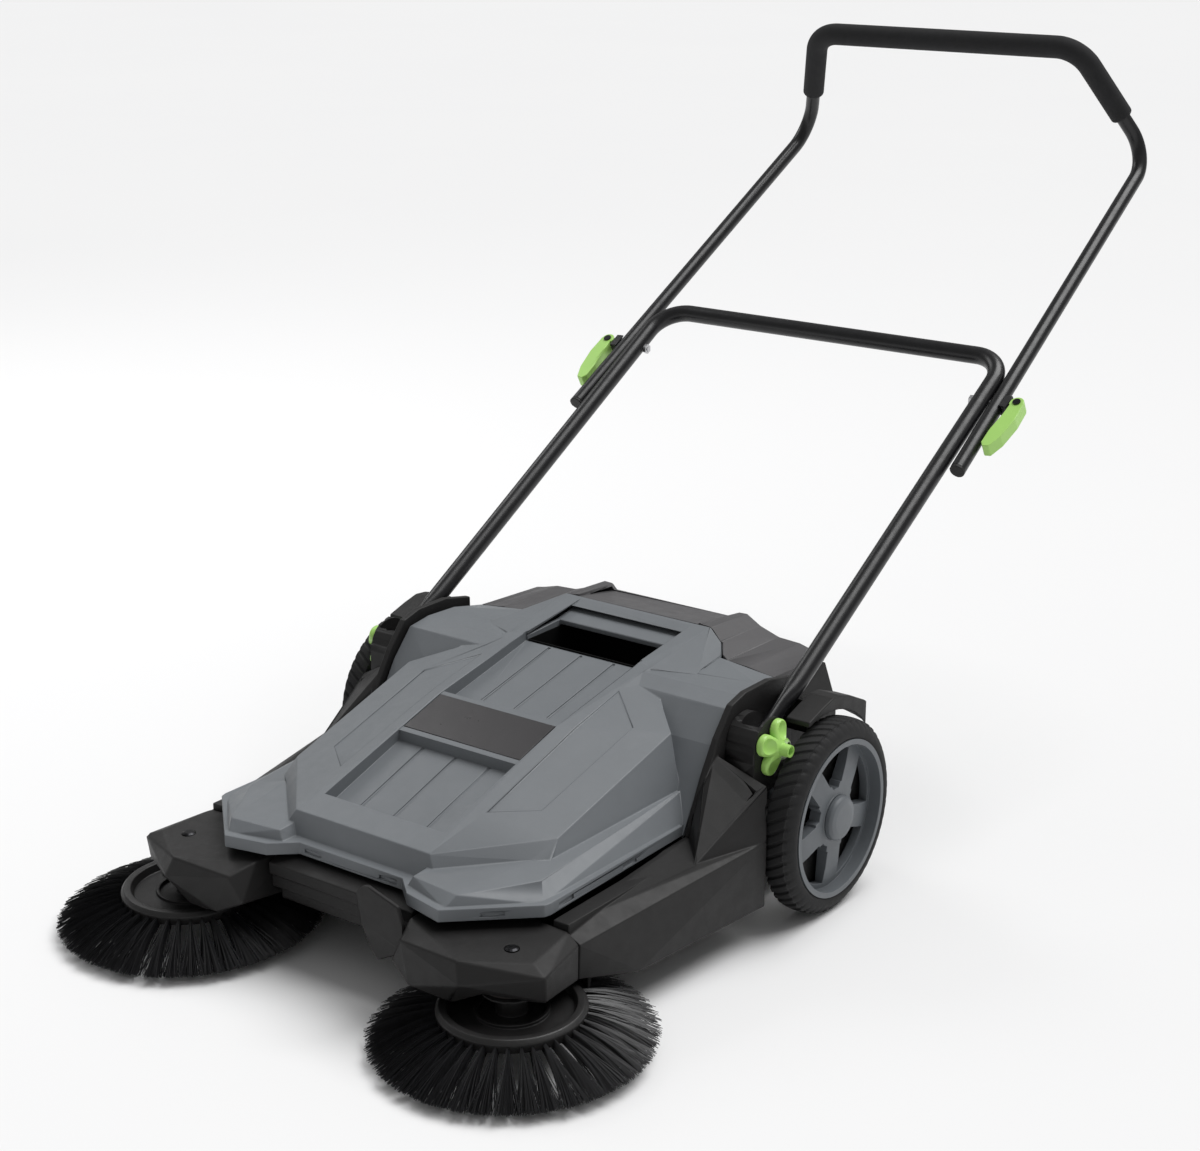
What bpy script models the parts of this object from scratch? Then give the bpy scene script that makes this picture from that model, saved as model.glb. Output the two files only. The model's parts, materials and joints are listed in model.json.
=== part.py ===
"""Walk-behind push floor sweeper, 750 mm sweeping width, built from separate named parts.

Frame: +X is the operator's left as they push (right-hand side seen from the front), the
machine's front faces -Y, the handle rises towards +Y, and the floor is Z = 0. All sizes are in
millimetres. Lengthways places are measured from the wheel axle, and the frame empty SWEEPER
carries the whole machine, so that the origin is on the floor under the middle of the box.
"""
import math

import bmesh
import bpy
from mathutils import Matrix, Vector

MM = 0.001
AXLE_Y = -120.2          # wheel axle, measured from the origin
GAP = 0.3                # clearance between parts that touch
SIDES = {"right": 1, "left": -1}

# wheels
WHEEL_R = 111.3
TYRE_IN, TYRE_OUT = 290.0, 327.0
RIM_R = 90.0
WHEEL_SPOKES = 5
AXLE_R = 8.0
WHEEL_PULLEY_X = 210.0
WHEEL_PULLEY_R = 22.0    # radius of the belt's centre line on the wheel pulley

# side brushes
BRUSH_X, BRUSH_Y = 225.5, -454.7
BRUSH_R = 149.5
BRUSH_TILT = math.radians(1.5)
BRUSH_Z = 148.0 * math.sin(BRUSH_TILT)
SPINDLE_R = 7.0
BRUSH_PULLEY_R = 28.0
BRUSH_PULLEY_H = 70.0
BELT_R = 2.6
BELT_SLOTS = ((190.0, 207.0), (241.0, 257.0))

# chassis
BASE_Z = 44.0
DECK_Z = 118.0
WALL = 3.0
CHASSIS_FRONT, CHASSIS_REAR = -395.0, 144.0
WELL_X = 250.0           # half width at the wheel wells
WELL_R = 84.5            # round recess over each brush
WELL_ROOF = 61.0
ARCH_IN, ARCH_OUT = 230.0, 238.0
PANEL_X = 303.0          # outer side of the panels and fenders
FENDER_R = 118.0

# container lid
LID_RIM_LOW, LID_RIM_HIGH = 122.0, 136.0
LID_HALF = 228.0

# handle
PIVOT_Y, PIVOT_Z = -69.6, 207.8
TUBE_SLOPE = math.radians(29.9)
LOWER_X, LOWER_R = 260.0, 11.0
UPPER_X, UPPER_R = 281.4, 9.5
CROSSBAR = (255.9, 484.9, 531.2)
CLAMP_AT = 567.0         # distance of the clamp from the pivot, along the tube
CLAMP_X = 277.5          # half width of the upper tube at the clamp
LEVER_X = 304.3
UPPER_END = 450.0        # lower end of the upper tube, from the pivot
KNOB_TURN = {"right": 67.0, "left": 47.0}    # where each star knob's petals came to rest
BEND = (261.1, 853.8, 738.5)
GRIP = (195.1, 759.5, 882.3)
GRIP_BEND = 45.0
FOAM_R = 14.6


# ---------------------------------------------------------------- shapes

def solid(vertices, faces):
    """A bmesh from plain lists."""
    bm = bmesh.new()
    made = [bm.verts.new(v) for v in vertices]
    for face in faces:
        bm.faces.new([made[i] for i in face])
    bmesh.ops.recalc_face_normals(bm, faces=bm.faces)
    return bm


def hull(points):
    """The convex solid around a list of points."""
    bm = bmesh.new()
    made = [bm.verts.new(p) for p in points]
    result = bmesh.ops.convex_hull(bm, input=made)
    loose = [v for v in result["geom_interior"] if isinstance(v, bmesh.types.BMVert)]
    bmesh.ops.delete(bm, geom=loose, context="VERTS")
    bmesh.ops.dissolve_limit(bm, angle_limit=math.radians(0.5), verts=bm.verts, edges=bm.edges)
    bmesh.ops.recalc_face_normals(bm, faces=bm.faces)
    return bm


def prism(outline, low, high, axis="Z"):
    """A flat outline pulled from low to high along an axis.

    The outline is (x, y) for Z, (y, z) for X and (x, z) for Y.
    """
    place = {"Z": lambda a, b, h: (a, b, h), "X": lambda a, b, h: (h, a, b),
             "Y": lambda a, b, h: (a, h, b)}[axis]
    count = len(outline)
    vertices = [place(a, b, h) for h in (low, high) for a, b in outline]
    faces = [range(count), range(count, 2 * count)]
    for i in range(count):
        j = (i + 1) % count
        faces.append((i, j, count + j, count + i))
    return solid(vertices, faces)


def box(low, high):
    """An axis-aligned block between two corners."""
    return prism([(low[0], low[1]), (high[0], low[1]), (high[0], high[1]), (low[0], high[1])],
                 low[2], high[2])


def turned(profile, segments, axis="Z", closed=True):
    """A profile of (radius, height) turned a full circle round an axis through the origin."""
    bm = bmesh.new()
    made = [bm.verts.new((r, 0.0, h)) for r, h in profile]
    edges = [bm.edges.new(pair) for pair in zip(made, made[1:])]
    if closed:
        edges.append(bm.edges.new((made[-1], made[0])))
    bmesh.ops.spin(bm, geom=made + edges, cent=(0, 0, 0), axis=(0, 0, 1),
                   angle=math.tau, steps=segments, use_merge=True)
    bmesh.ops.remove_doubles(bm, verts=bm.verts, dist=1e-4)
    bmesh.ops.recalc_face_normals(bm, faces=bm.faces)
    if axis == "X":
        bm.transform(Matrix.Rotation(math.radians(90.0), 4, "Y"))
    return bm


def rod(radius, low, high, segments=20, axis="Z"):
    """A plain round bar on an axis through the origin."""
    return turned([(0, low), (radius, low), (radius, high), (0, high)], segments, axis, False)


def ring(inner, outer, low, high, segments=24, axis="Z"):
    """A plain tube section on an axis through the origin."""
    return turned([(inner, low), (outer, low), (outer, high), (inner, high)], segments, axis)


def sweep(path, radius, sides=14, bore=0.0, loop=False):
    """A round bar, a sleeve with a bore, or a closed loop, along a list of points."""
    points = [Vector(p) for p in path]
    count = len(points)
    tangents = []
    for i in range(count):
        before = points[i - 1] if (i or loop) else points[i]
        after = points[(i + 1) % count] if (i < count - 1 or loop) else points[i]
        tangents.append((after - before).normalized())
    side = tangents[0].orthogonal().normalized()
    frames = []
    for tangent in tangents:
        side = (side - tangent * side.dot(tangent)).normalized()
        frames.append((side.copy(), tangent.cross(side)))
    radii = [radius, bore] if bore else [radius]
    vertices, faces = [], []
    for size in radii:
        for point, (u, v) in zip(points, frames):
            for k in range(sides):
                turn = math.tau * k / sides
                vertices.append(point + u * (size * math.cos(turn)) + v * (size * math.sin(turn)))
    spans = count if loop else count - 1
    shell = count * sides
    for layer in range(len(radii)):
        for i in range(spans):
            a, b = layer * shell + i * sides, layer * shell + ((i + 1) % count) * sides
            for k in range(sides):
                n = (k + 1) % sides
                faces.append((a + k, a + n, b + n, b + k))
    if not loop:
        for start in (0, (count - 1) * sides):
            if bore:
                for k in range(sides):
                    n = (k + 1) % sides
                    faces.append((start + k, start + n, shell + start + n, shell + start + k))
            else:
                faces.append(range(start, start + sides))
    return solid(vertices, faces)


def rounded(corners, radius, steps=6):
    """A path through corners, each inner corner replaced by an arc of the given radius."""
    corners = [Vector(c) for c in corners]
    path = [corners[0]]
    for before, corner, after in zip(corners, corners[1:], corners[2:]):
        a, b = (before - corner).normalized(), (after - corner).normalized()
        half = a.angle(b) / 2
        centre = corner + (a + b).normalized() * (radius / math.sin(half))
        inward = (corner - centre).normalized()
        across = (a - b).normalized()
        for k in range(steps + 1):
            turn = (math.pi / 2 - half) * (1 - 2 * k / steps)
            path.append(centre + (inward * math.cos(turn) + across * math.sin(turn)) * radius)
    path.append(corners[-1])
    return path


def arc(radius, first, last, steps, centre=(0.0, 0.0)):
    """Points on a circle from one angle to another, in degrees."""
    result = []
    for k in range(steps + 1):
        turn = math.radians(first + (last - first) * k / steps)
        result.append((centre[0] + radius * math.cos(turn), centre[1] + radius * math.sin(turn)))
    return result


def moved(bm, offset=(0, 0, 0), matrix=None):
    """The same solid after an optional matrix and an offset."""
    if matrix is not None:
        bm.transform(matrix)
        bmesh.ops.recalc_face_normals(bm, faces=bm.faces)
    bmesh.ops.translate(bm, verts=bm.verts, vec=offset)
    return bm


def sided(points, s):
    """Points of the right-hand side, or their mirror image for the left."""
    return [(s * x, y, z) for x, y, z in points]


def slab(s, x_low, x_high, y_low, y_high, z_low, z_high):
    """A block on one side of the machine, given by its limits on the right-hand side."""
    near, far = sorted((s * x_low, s * x_high))
    return box((near, y_low, z_low), (far, y_high, z_high))


def flipped(bm, s):
    """The solid as it is for the right-hand side, or mirrored for the left."""
    return moved(bm, (0, 0, 0), Matrix.Scale(s, 4, (1, 0, 0)))


def both(points):
    """Points together with their mirror image."""
    return sided(points, 1) + sided(points, -1)


def carve(base, *steps):
    """The base solid after a run of exact Booleans, each (operation, solid)."""
    def scratch(bm):
        mesh = bpy.data.meshes.new("scratch")
        bm.to_mesh(mesh)
        bm.free()
        thing = bpy.data.objects.new("scratch", mesh)
        bpy.context.scene.collection.objects.link(thing)
        return thing

    body = scratch(base)
    tools = []
    for operation, shape in steps:
        tool = scratch(shape)
        step = body.modifiers.new("step", "BOOLEAN")
        step.operation, step.solver, step.object = operation, "EXACT", tool
        tools.append(tool)
    bpy.context.view_layer.update()
    result = bmesh.new()
    result.from_object(body, bpy.context.evaluated_depsgraph_get())
    for thing in [body] + tools:
        mesh = thing.data
        bpy.data.objects.remove(thing)
        bpy.data.meshes.remove(mesh)
    bmesh.ops.remove_doubles(result, verts=result.verts, dist=1e-3)
    bmesh.ops.dissolve_degenerate(result, edges=result.edges, dist=1e-3)
    return result


def join(*shapes):
    """The union of several overlapping solids."""
    return carve(shapes[0], *[("UNION", shape) for shape in shapes[1:]])


# ---------------------------------------------------------------- scene

for old in list(bpy.data.objects):
    bpy.data.objects.remove(old)

MATERIALS = {}
FRAMES = {}


def material(name, colour, roughness, metallic=0.0):
    """A Principled material."""
    made = bpy.data.materials.new(name)
    made.use_nodes = True
    shader = made.node_tree.nodes["Principled BSDF"]
    shader.inputs["Base Color"].default_value = (*colour, 1.0)
    shader.inputs["Roughness"].default_value = roughness
    shader.inputs["Metallic"].default_value = metallic
    MATERIALS[name] = made


material("lid_grey", (0.165, 0.180, 0.195), 0.42)
material("chassis_black", (0.030, 0.029, 0.029), 0.50)
material("cover_grey", (0.100, 0.096, 0.097), 0.48)
material("rim_grey", (0.115, 0.130, 0.142), 0.45)
material("tyre_rubber", (0.020, 0.020, 0.020), 0.80)
material("bristle_black", (0.008, 0.008, 0.009), 0.70)
material("brush_hub_black", (0.035, 0.033, 0.032), 0.50)
material("tube_paint", (0.008, 0.008, 0.009), 0.22)
material("foam_black", (0.013, 0.013, 0.014), 0.90)
material("lever_green", (0.270, 0.620, 0.110), 0.38)
material("belt_rubber", (0.030, 0.025, 0.022), 0.75)
material("nylon_white", (0.550, 0.540, 0.500), 0.45)
material("steel", (0.520, 0.520, 0.530), 0.30, 1.0)
material("black_steel", (0.020, 0.020, 0.021), 0.40, 0.5)
material("plate_dark", (0.045, 0.043, 0.045), 0.35)


def frame(name, parent=None, place=(0, 0, 0), turn=None):
    """An empty that carries one moving body; its place is given in the machine's own axes."""
    empty = bpy.data.objects.new(name, None)
    bpy.context.scene.collection.objects.link(empty)
    world = Matrix.Translation(place) @ (turn or Matrix()).to_4x4()
    FRAMES[name] = world
    local = FRAMES[parent].inverted() @ world if parent else world
    empty.parent = bpy.data.objects[parent] if parent else None
    empty.matrix_basis = Matrix.Translation(local.translation * MM) @ local.to_3x3().to_4x4()
    return name


def part(name, bm, carrier, finish, own_axes=False):
    """One named piece, carried by a frame, from a solid in machine axes or in the frame's own."""
    if not own_axes:
        bm.transform(FRAMES[carrier].inverted())
    bm.transform(Matrix.Scale(MM, 4))
    bmesh.ops.recalc_face_normals(bm, faces=bm.faces)
    mesh = bpy.data.meshes.new(name)
    bm.to_mesh(mesh)
    bm.free()
    mesh.shade_smooth()
    mesh.set_sharp_from_angle(angle=math.radians(32.0))
    mesh.materials.append(MATERIALS[finish])
    thing = bpy.data.objects.new(name, mesh)
    thing.parent = bpy.data.objects[carrier]
    bpy.context.scene.collection.objects.link(thing)
    return thing


def along(distance, x=0.0, across=0.0):
    """A point at a distance up the handle line from the pivot, and across it (up and forward)."""
    c, s = math.cos(TUBE_SLOPE), math.sin(TUBE_SLOPE)
    return (x, PIVOT_Y + distance * c - across * s, PIVOT_Z + distance * s + across * c)


frame("SWEEPER", place=(0, AXLE_Y, 0))
FRAMES["SWEEPER"] = Matrix()
frame("CONTAINER", "SWEEPER", (0, -200, 120))
frame("LOWER_HANDLE", "SWEEPER", (0, PIVOT_Y, PIVOT_Z))
frame("UPPER_HANDLE", "LOWER_HANDLE", along(CLAMP_AT))
ALONG_TUBE = Matrix.Rotation(TUBE_SLOPE, 4, "X")
for side, s in SIDES.items():
    frame(f"WHEEL_{side}", "SWEEPER", (0, 0, WHEEL_R))
    frame(f"BRUSH_{side}", "SWEEPER", (s * BRUSH_X, BRUSH_Y, BRUSH_Z),
          Matrix.Rotation(BRUSH_TILT, 4, "X"))
    frame(f"KNOB_{side}", "SWEEPER", (0, PIVOT_Y, PIVOT_Z))
    frame(f"LEVER_{side}", "UPPER_HANDLE", along(CLAMP_AT, s * LEVER_X), ALONG_TUBE)
BRUSH_FRAME = {s: FRAMES[f"BRUSH_{side}"] for side, s in SIDES.items()}


# ---------------------------------------------------------------- chassis

def side_arch(x_low, x_high, grow=0.0):
    """The wall beside the lid, which follows the lid's stepped-up rear edge."""
    outline = [(-174 - grow, DECK_Z - 20), (-156 - grow, 150), (-139 - grow, 184),
               (-116 - grow, 221), (-89, 252 + grow), (-62, 259 + grow), (-13, 259 + grow),
               (33, 249 + grow), (33, DECK_Z - 20)]
    return prism(outline, x_low, x_high, "X")


def fender(s):
    """The hood over one wheel, with the deck that ties it to the body."""
    under = arc(FENDER_R, 39.5, 107.5, 11, (0, WHEEL_R))
    hood = [(-35, 230), (-9, 238), (14, 243.5), (30, 242), (50, 236), (90, 217),
            (91, 196)] + under
    deck = [(6, 236), (36, 231), (91, 206), (91, 180), (6, 198)]
    low, high = sorted((s * 272.5, s * PANEL_X))
    deck_low, deck_high = sorted((s * 233.0, s * 274.0))
    return prism(hood, low, high, "X"), prism(deck, deck_low, deck_high, "X")


def panel_points(inset):
    """Corners of the raised side panel beside the wheel."""
    i = inset
    return [(272 - i, -205 + i, 118 - i), (238 - i, -160 + i, 150 - i), (235, -137, 184 - i),
            (290 - 2 * i, -98 - 4 * i, 175 - i), (303 - i, -117 - i, 70),
            (303 - i, -117 - i, 120 - i), (235, -117 - i, 205 - i), (235, -117 - i, 70),
            (235, -170 + i, 112)]


def side_body(s, inset):
    """The outer side below the deck, from the brush housing back to the wheel."""
    i = inset
    lower = [(200, -395 + i, 60 + i), (262 - i, -395 + i, 61 + i), (264 - i, -395 + i, 100 - i),
             (238 - i, -395 + i, 112 - i), (200, -395 + i, 112 - i), (200, -320, 45 + i),
             (283 - i, -320, 45 + i), (303 - i, -117 - i, 44 + i), (200, -117 - i, 44 + i),
             (272 - i, -205, 118 - i), (236 - i, -170, 124 - i), (200, -170, 118 - i),
             (303 - i, -117 - i, 120 - i), (200, -117 - i, 118 - i)]
    return hull(sided(lower, s)), hull(sided(panel_points(i), s))


def chassis():
    """Tub-shaped lower housing: floor, side walls, wheel arches and lid surround."""
    centre = prism([(-WELL_X, CHASSIS_FRONT), (WELL_X, CHASSIS_FRONT), (WELL_X, CHASSIS_REAR),
                    (-WELL_X, CHASSIS_REAR)], BASE_Z, DECK_Z)
    grown = [centre]
    cuts = []
    for s in SIDES.values():
        low, high = sorted((s * (ARCH_IN - 6), s * ARCH_OUT))
        grown.append(side_arch(low, high))
        grown.append(hull(sided([(214, 33, 228), (214, CHASSIS_REAR, 228), (226, 33, 196),
                                 (226, CHASSIS_REAR, 194), (238, 30, 112), (204, 30, 112),
                                 (238, CHASSIS_REAR, 112), (204, CHASSIS_REAR, 112),
                                 (204, 33, 228), (204, CHASSIS_REAR, 228)], s)))
        grown.extend(fender(s))
        grown.extend(side_body(s, 0.0))
        cuts.extend(side_body(s, WALL))
    rear_wall = box((-208, CHASSIS_REAR - WALL, BASE_Z + 4), (208, CHASSIS_REAR, 228))
    grown.append(rear_wall)
    body = join(*grown)
    room = box((-WELL_X + 4, CHASSIS_FRONT + WALL, BASE_Z + WALL), (WELL_X - 4, -117 - WALL, 112))
    bay = box((-WELL_X + 6, -122, BASE_Z + WALL), (WELL_X - 6, CHASSIS_REAR - WALL, DECK_Z - WALL))
    mouth = box((-ARCH_IN, CHASSIS_FRONT - 5, 100), (ARCH_IN, 34, 400))
    attic = box((-209, 30, 100), (209, CHASSIS_REAR - WALL, 400))
    doorway = box((-96, CHASSIS_FRONT - 5, 62), (96, CHASSIS_FRONT + 8, 130))
    cuts.extend([room, bay, mouth, attic, doorway])
    body = carve(body, *[("DIFFERENCE", cut) for cut in cuts])
    extras = []
    for s in SIDES.values():
        low, high = sorted((s * 194.0, s * 200.0))
        extras.append(prism([(-46, BASE_Z + 1), (46, BASE_Z + 1), (20, 138), (-20, 138)],
                            low, high, "X"))
        roof = arc(WELL_R + WALL, 66, 138, 8, (BRUSH_X, BRUSH_Y))
        roof.append((roof[0][0], CHASSIS_FRONT))
        extras.append(prism([(s * x, max(y, CHASSIS_FRONT)) for x, y in roof],
                            BASE_Z, WELL_ROOF + WALL))
    body = join(body, *extras)
    holes = [prism([(s * 261.5, 17), (s * 310, 99), (s * 310, 110), (s * 261.5, 110)], 150, 300)
             for s in SIDES.values()]
    for s in SIDES.values():
        holes.append(moved(flipped(rod(114.5, TYRE_IN - 2, 340, 48, "X"), s), (0, 0, WHEEL_R)))
        holes.append(moved(rod(WELL_R, BASE_Z - 9, WELL_ROOF), (s * BRUSH_X, BRUSH_Y, 0)))
        holes.append(moved(rod(AXLE_R + GAP, 190, 203, axis="X"), (0, 0, WHEEL_R),
                           Matrix.Scale(s, 4, (1, 0, 0))))
        holes.append(moved(rod(17.0, 226, 262, axis="X"), (0, 0, WHEEL_R),
                           Matrix.Scale(s, 4, (1, 0, 0))))
        for low, high in BELT_SLOTS:
            holes.append(slab(s, low, high, CHASSIS_FRONT - 6, CHASSIS_FRONT + 6, 68, 92))
        holes.append(slab(s, 196, 243, -130, -110, 60, 112))
    return carve(body, *[("DIFFERENCE", hole) for hole in holes])


def front_tab():
    """Leaf-shaped guide that stands in front of the bar's right-hand end."""
    leaf = [(107, 78), (107, 110), (101, 112), (101, 128)]
    leaf += arc(17.0, 62, 178, 6, (62, 122)) + [(50, 96), (62, 72), (72, 60)]
    return hull([(x, y, z) for x, z in leaf for y in (-482, -477)])


def brush_housing(s):
    """Faceted hood over one side brush, open below, with a web that holds the bearing."""
    rear = CHASSIS_FRONT - GAP
    outer = [(134, -506, 62), (104, -496, 76), (101, rear, 64), (180, -500, 57),
             (277, -466, 72), (262, rear, 61), (120, -500, 105), (204, -512, 86),
             (279, -469, 99), (263, rear, 100), (150, -490, 109), (197, -505, 107.5),
             (259, -463, 107.5), (250, rear, 111), (104, rear, 117), (108, -470, 114)]
    inner = [(136, -501, 55), (109, -490, 55), (106, rear - WALL, 55), (180, -495, 50),
             (272, -464, 50), (257, rear - WALL, 50), (124, -495, 103), (202, -507, 85),
             (274, -466, 96), (258, rear - WALL, 97), (150, -486, 105.5),
             (195, -501, 104), (255, -461, 104), (247, rear - WALL, 107),
             (109, rear - WALL, 112), (112, -468, 110)]
    shell = carve(hull(sided(outer, s)), ("DIFFERENCE", hull(sided(inner, s))))
    web = prism([(s * x, y) for x, y in ((110, -487), (180, -491), (268, -460), (254, rear - 2),
                                         (110, rear - 2))], 86.0, 92.0)
    post = moved(rod(11.0, 86.0, 106.0), (s * BRUSH_X, BRUSH_Y, 0))
    body = join(shell, web, post, *([front_tab()] if s > 0 else []))
    bore = rod(14.3, 66.0, 96.0)
    bore.transform(BRUSH_FRAME[s])
    screw = moved(rod(3.3, 95.0, 125.0, 16), (s * BRUSH_X, BRUSH_Y, 0))
    seat = moved(rod(8.0, 107.2, 125.0, 24), (s * BRUSH_X, BRUSH_Y, 0))
    slots = [slab(s, low, high, rear - 9, rear + 1, 66, 85.9) for low, high in BELT_SLOTS]
    return carve(body, ("DIFFERENCE", bore), ("DIFFERENCE", screw), ("DIFFERENCE", seat),
                 *[("DIFFERENCE", slot) for slot in slots])


def front_bar():
    """Cross member between the brush housings, with the stepped lip over the dust mouth."""
    half = 100.6
    upper = [(-396, 117.5), (-441, 117.5), (-459, 112), (-459, 99), (-455, 97), (-455, 83),
             (-396, 83)]
    lip = [(-396, 83.2), (-450, 83.2), (-450, 70), (-444, 66), (-396, 66)]
    bar = join(prism(upper, -half, half, "X"), prism(lip, -92, 92, "X"))
    channel = box((-90, -446, 40), (90, -390, 96))
    return carve(bar, ("DIFFERENCE", channel))


part("chassis_shell", chassis(), "SWEEPER", "chassis_black")
for side, s in SIDES.items():
    part(f"brush_housing_{side}", brush_housing(s), "SWEEPER", "chassis_black")
part("front_bar", front_bar(), "SWEEPER", "chassis_black")


# ---------------------------------------------------------------- rear cover

# half width, height over the lid seam, height at the rear edge
COVER_TOP = [(86, 275.5, 257.5), (93, 273.0, 264.5), (105, 272.0, 265.0), (124, 259.0, 254.0),
             (150, 248.5, 245.5), (179, 246.5, 244.0), (200, 243.5, 238.5), (212.8, 242.5, 236.0)]


def lid_rear_line(offset):
    """Plan outline of the lid's stepped rear edge, moved backwards by an offset."""
    right = [(105, 66), (125.5, 58), (140, 38), (150, 33.2), (216, 33.2)]
    return [(x, y + offset) for x, y in right]


def rear_cover():
    """Cover behind the lid: two low ridges run back to its rear edge."""
    def block(drop, front, rear, low, inset=0.0):
        vertices = []
        half = [(x - inset, a - drop, b - drop) for x, a, b in COVER_TOP]
        row = [(-x, a, b) for x, a, b in reversed(half)] + half
        for y, pick in ((front, 1), (rear, 2)):
            vertices += [(p[0], y, p[pick]) for p in row]
            vertices += [(row[-1][0], y, low), (row[0][0], y, low)]
        count = len(row) + 2
        faces = [range(count), range(count, 2 * count)]
        faces += [(i, (i + 1) % count, count + (i + 1) % count, count + i) for i in range(count)]
        return solid(vertices, faces)

    shell = carve(block(0, 30, CHASSIS_REAR, 229.0),
                  ("DIFFERENCE", block(WALL, 20, CHASSIS_REAR - 2 * WALL, 215.0, 2 * WALL)))
    seam = lid_rear_line(0.9)
    lid_side = [(-x, y) for x, y in reversed(seam)] + seam + [(216, 0), (-216, 0)]
    return carve(shell, ("DIFFERENCE", prism(lid_side, 200, 320)))


part("rear_cover", rear_cover(), "SWEEPER", "cover_grey")


# ---------------------------------------------------------------- container: lid, tub, plate

PANEL_HALF = 83.0
# lengthways profile of the sunk centre panel
PANEL_FLOOR = [(-389, 154.0), (-266, 193.5), (-168, 217.0), (-42, 244.5)]
PANEL_EDGE = [(-389, 163.0), (-262, 207.8), (-197, 226.6), (-45, 255.0), (66, 270.0)]


def height_at(profile, y):
    """Height on a lengthways profile, by straight lines."""
    for (y0, z0), (y1, z1) in zip(profile, profile[1:]):
        if y <= y1:
            break
    return z0 + (z1 - z0) * (y - y0) / (y1 - y0)


def rim_outline(inset):
    """Plan outline of the lid's rim: two lobes over the brush housings, a straight middle."""
    i = inset
    right = [(72, -441 + i), (98 + 0.3 * i, -464 + i), (148 - 0.2 * i, -475 + i),
             (226 - i, -403 + 0.7 * i), (LID_HALF - i, -396), (LID_HALF - i, -166)]
    return [(-x, y) for x, y in reversed(right)] + right


def raised_points(i):
    """Corners of the lid's raised centre on one side, shrunk by an inset."""
    top = [(93, -422 + i, 161.3 - i), (183.2 - i, -326.5 + i, 168 - i),
           (187.5 - i, -131, 221.7 - i), (101, -50, 254.0 - i)]
    skirt = [(109, -431 + i, 134 - i), (187 - i, -345 + i, 150 - i), (205 - i, -139, 163 - i),
             (187 - i, -345 + i, 130), (205 - i, -139, 130), (109, -431 + i, 130), (101, -50, 180)]
    return top + skirt + [(PANEL_HALF, y, z - i) for y, z in PANEL_EDGE[:-1]]


def lid_blocks(i):
    """The outer body of the lid as overlapping convex blocks, shrunk by an inset."""
    blocks = [prism(rim_outline(i), LID_RIM_LOW - (10 if i else 0), LID_RIM_HIGH - i)]
    for s in SIDES.values():
        plateau = [(86, -450 + i, 134 - i), (150, -468 + i, 134 - i), (222 - i, -399 + i, 134 - i),
                   (225 - i, -160, 134 - i), (86, -160, 134 - i), (93, -448 + i, 147 - i),
                   (157 - 0.5 * i, -455 + i, 147 - i), (203 - i, -379 + i, 147 - i),
                   (208 - i, -140, 163 - i), (93, -140, 163 - i)]
        blocks.append(hull(sided(plateau, s)))
    blocks.append(hull(both(raised_points(i))))
    haunch = [(228 - i, -168 + i, LID_RIM_LOW), (228 - i, -160 + i, 136), (228 - i, -137 + i, 172),
              (228 - i, -113 + i, 211), (227 - i, -84 + i, 244 - i), (223 - i, -55, 250.5 - i),
              (219 - i, -13, 250.5 - i), (214 - i, 33 - i, 242 - i), (214 - i, 33 - i, LID_RIM_LOW),
              (140, 33 - i, 250 - i), (150, -60, 251.5 - i)]
    blocks.append(hull(both(haunch)))
    ridge = [(101, -52, 253.5 - i), (PANEL_HALF, -45, 255 - i), (105, 66 - i, 270 - i),
             (125.5 - i, 57.7 - i, 258 - i), (139.5 - i, 37.6 - i, 250.5 - i),
             (150 - i, -30, 250.5 - i), (105, 66 - i, 200), (125.5 - i, 57.7 - i, 200),
             (139.5 - i, 37.6 - i, 200), (139.5 - i, -40, 200)]
    blocks.append(hull(both(ridge)))
    return blocks


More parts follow.
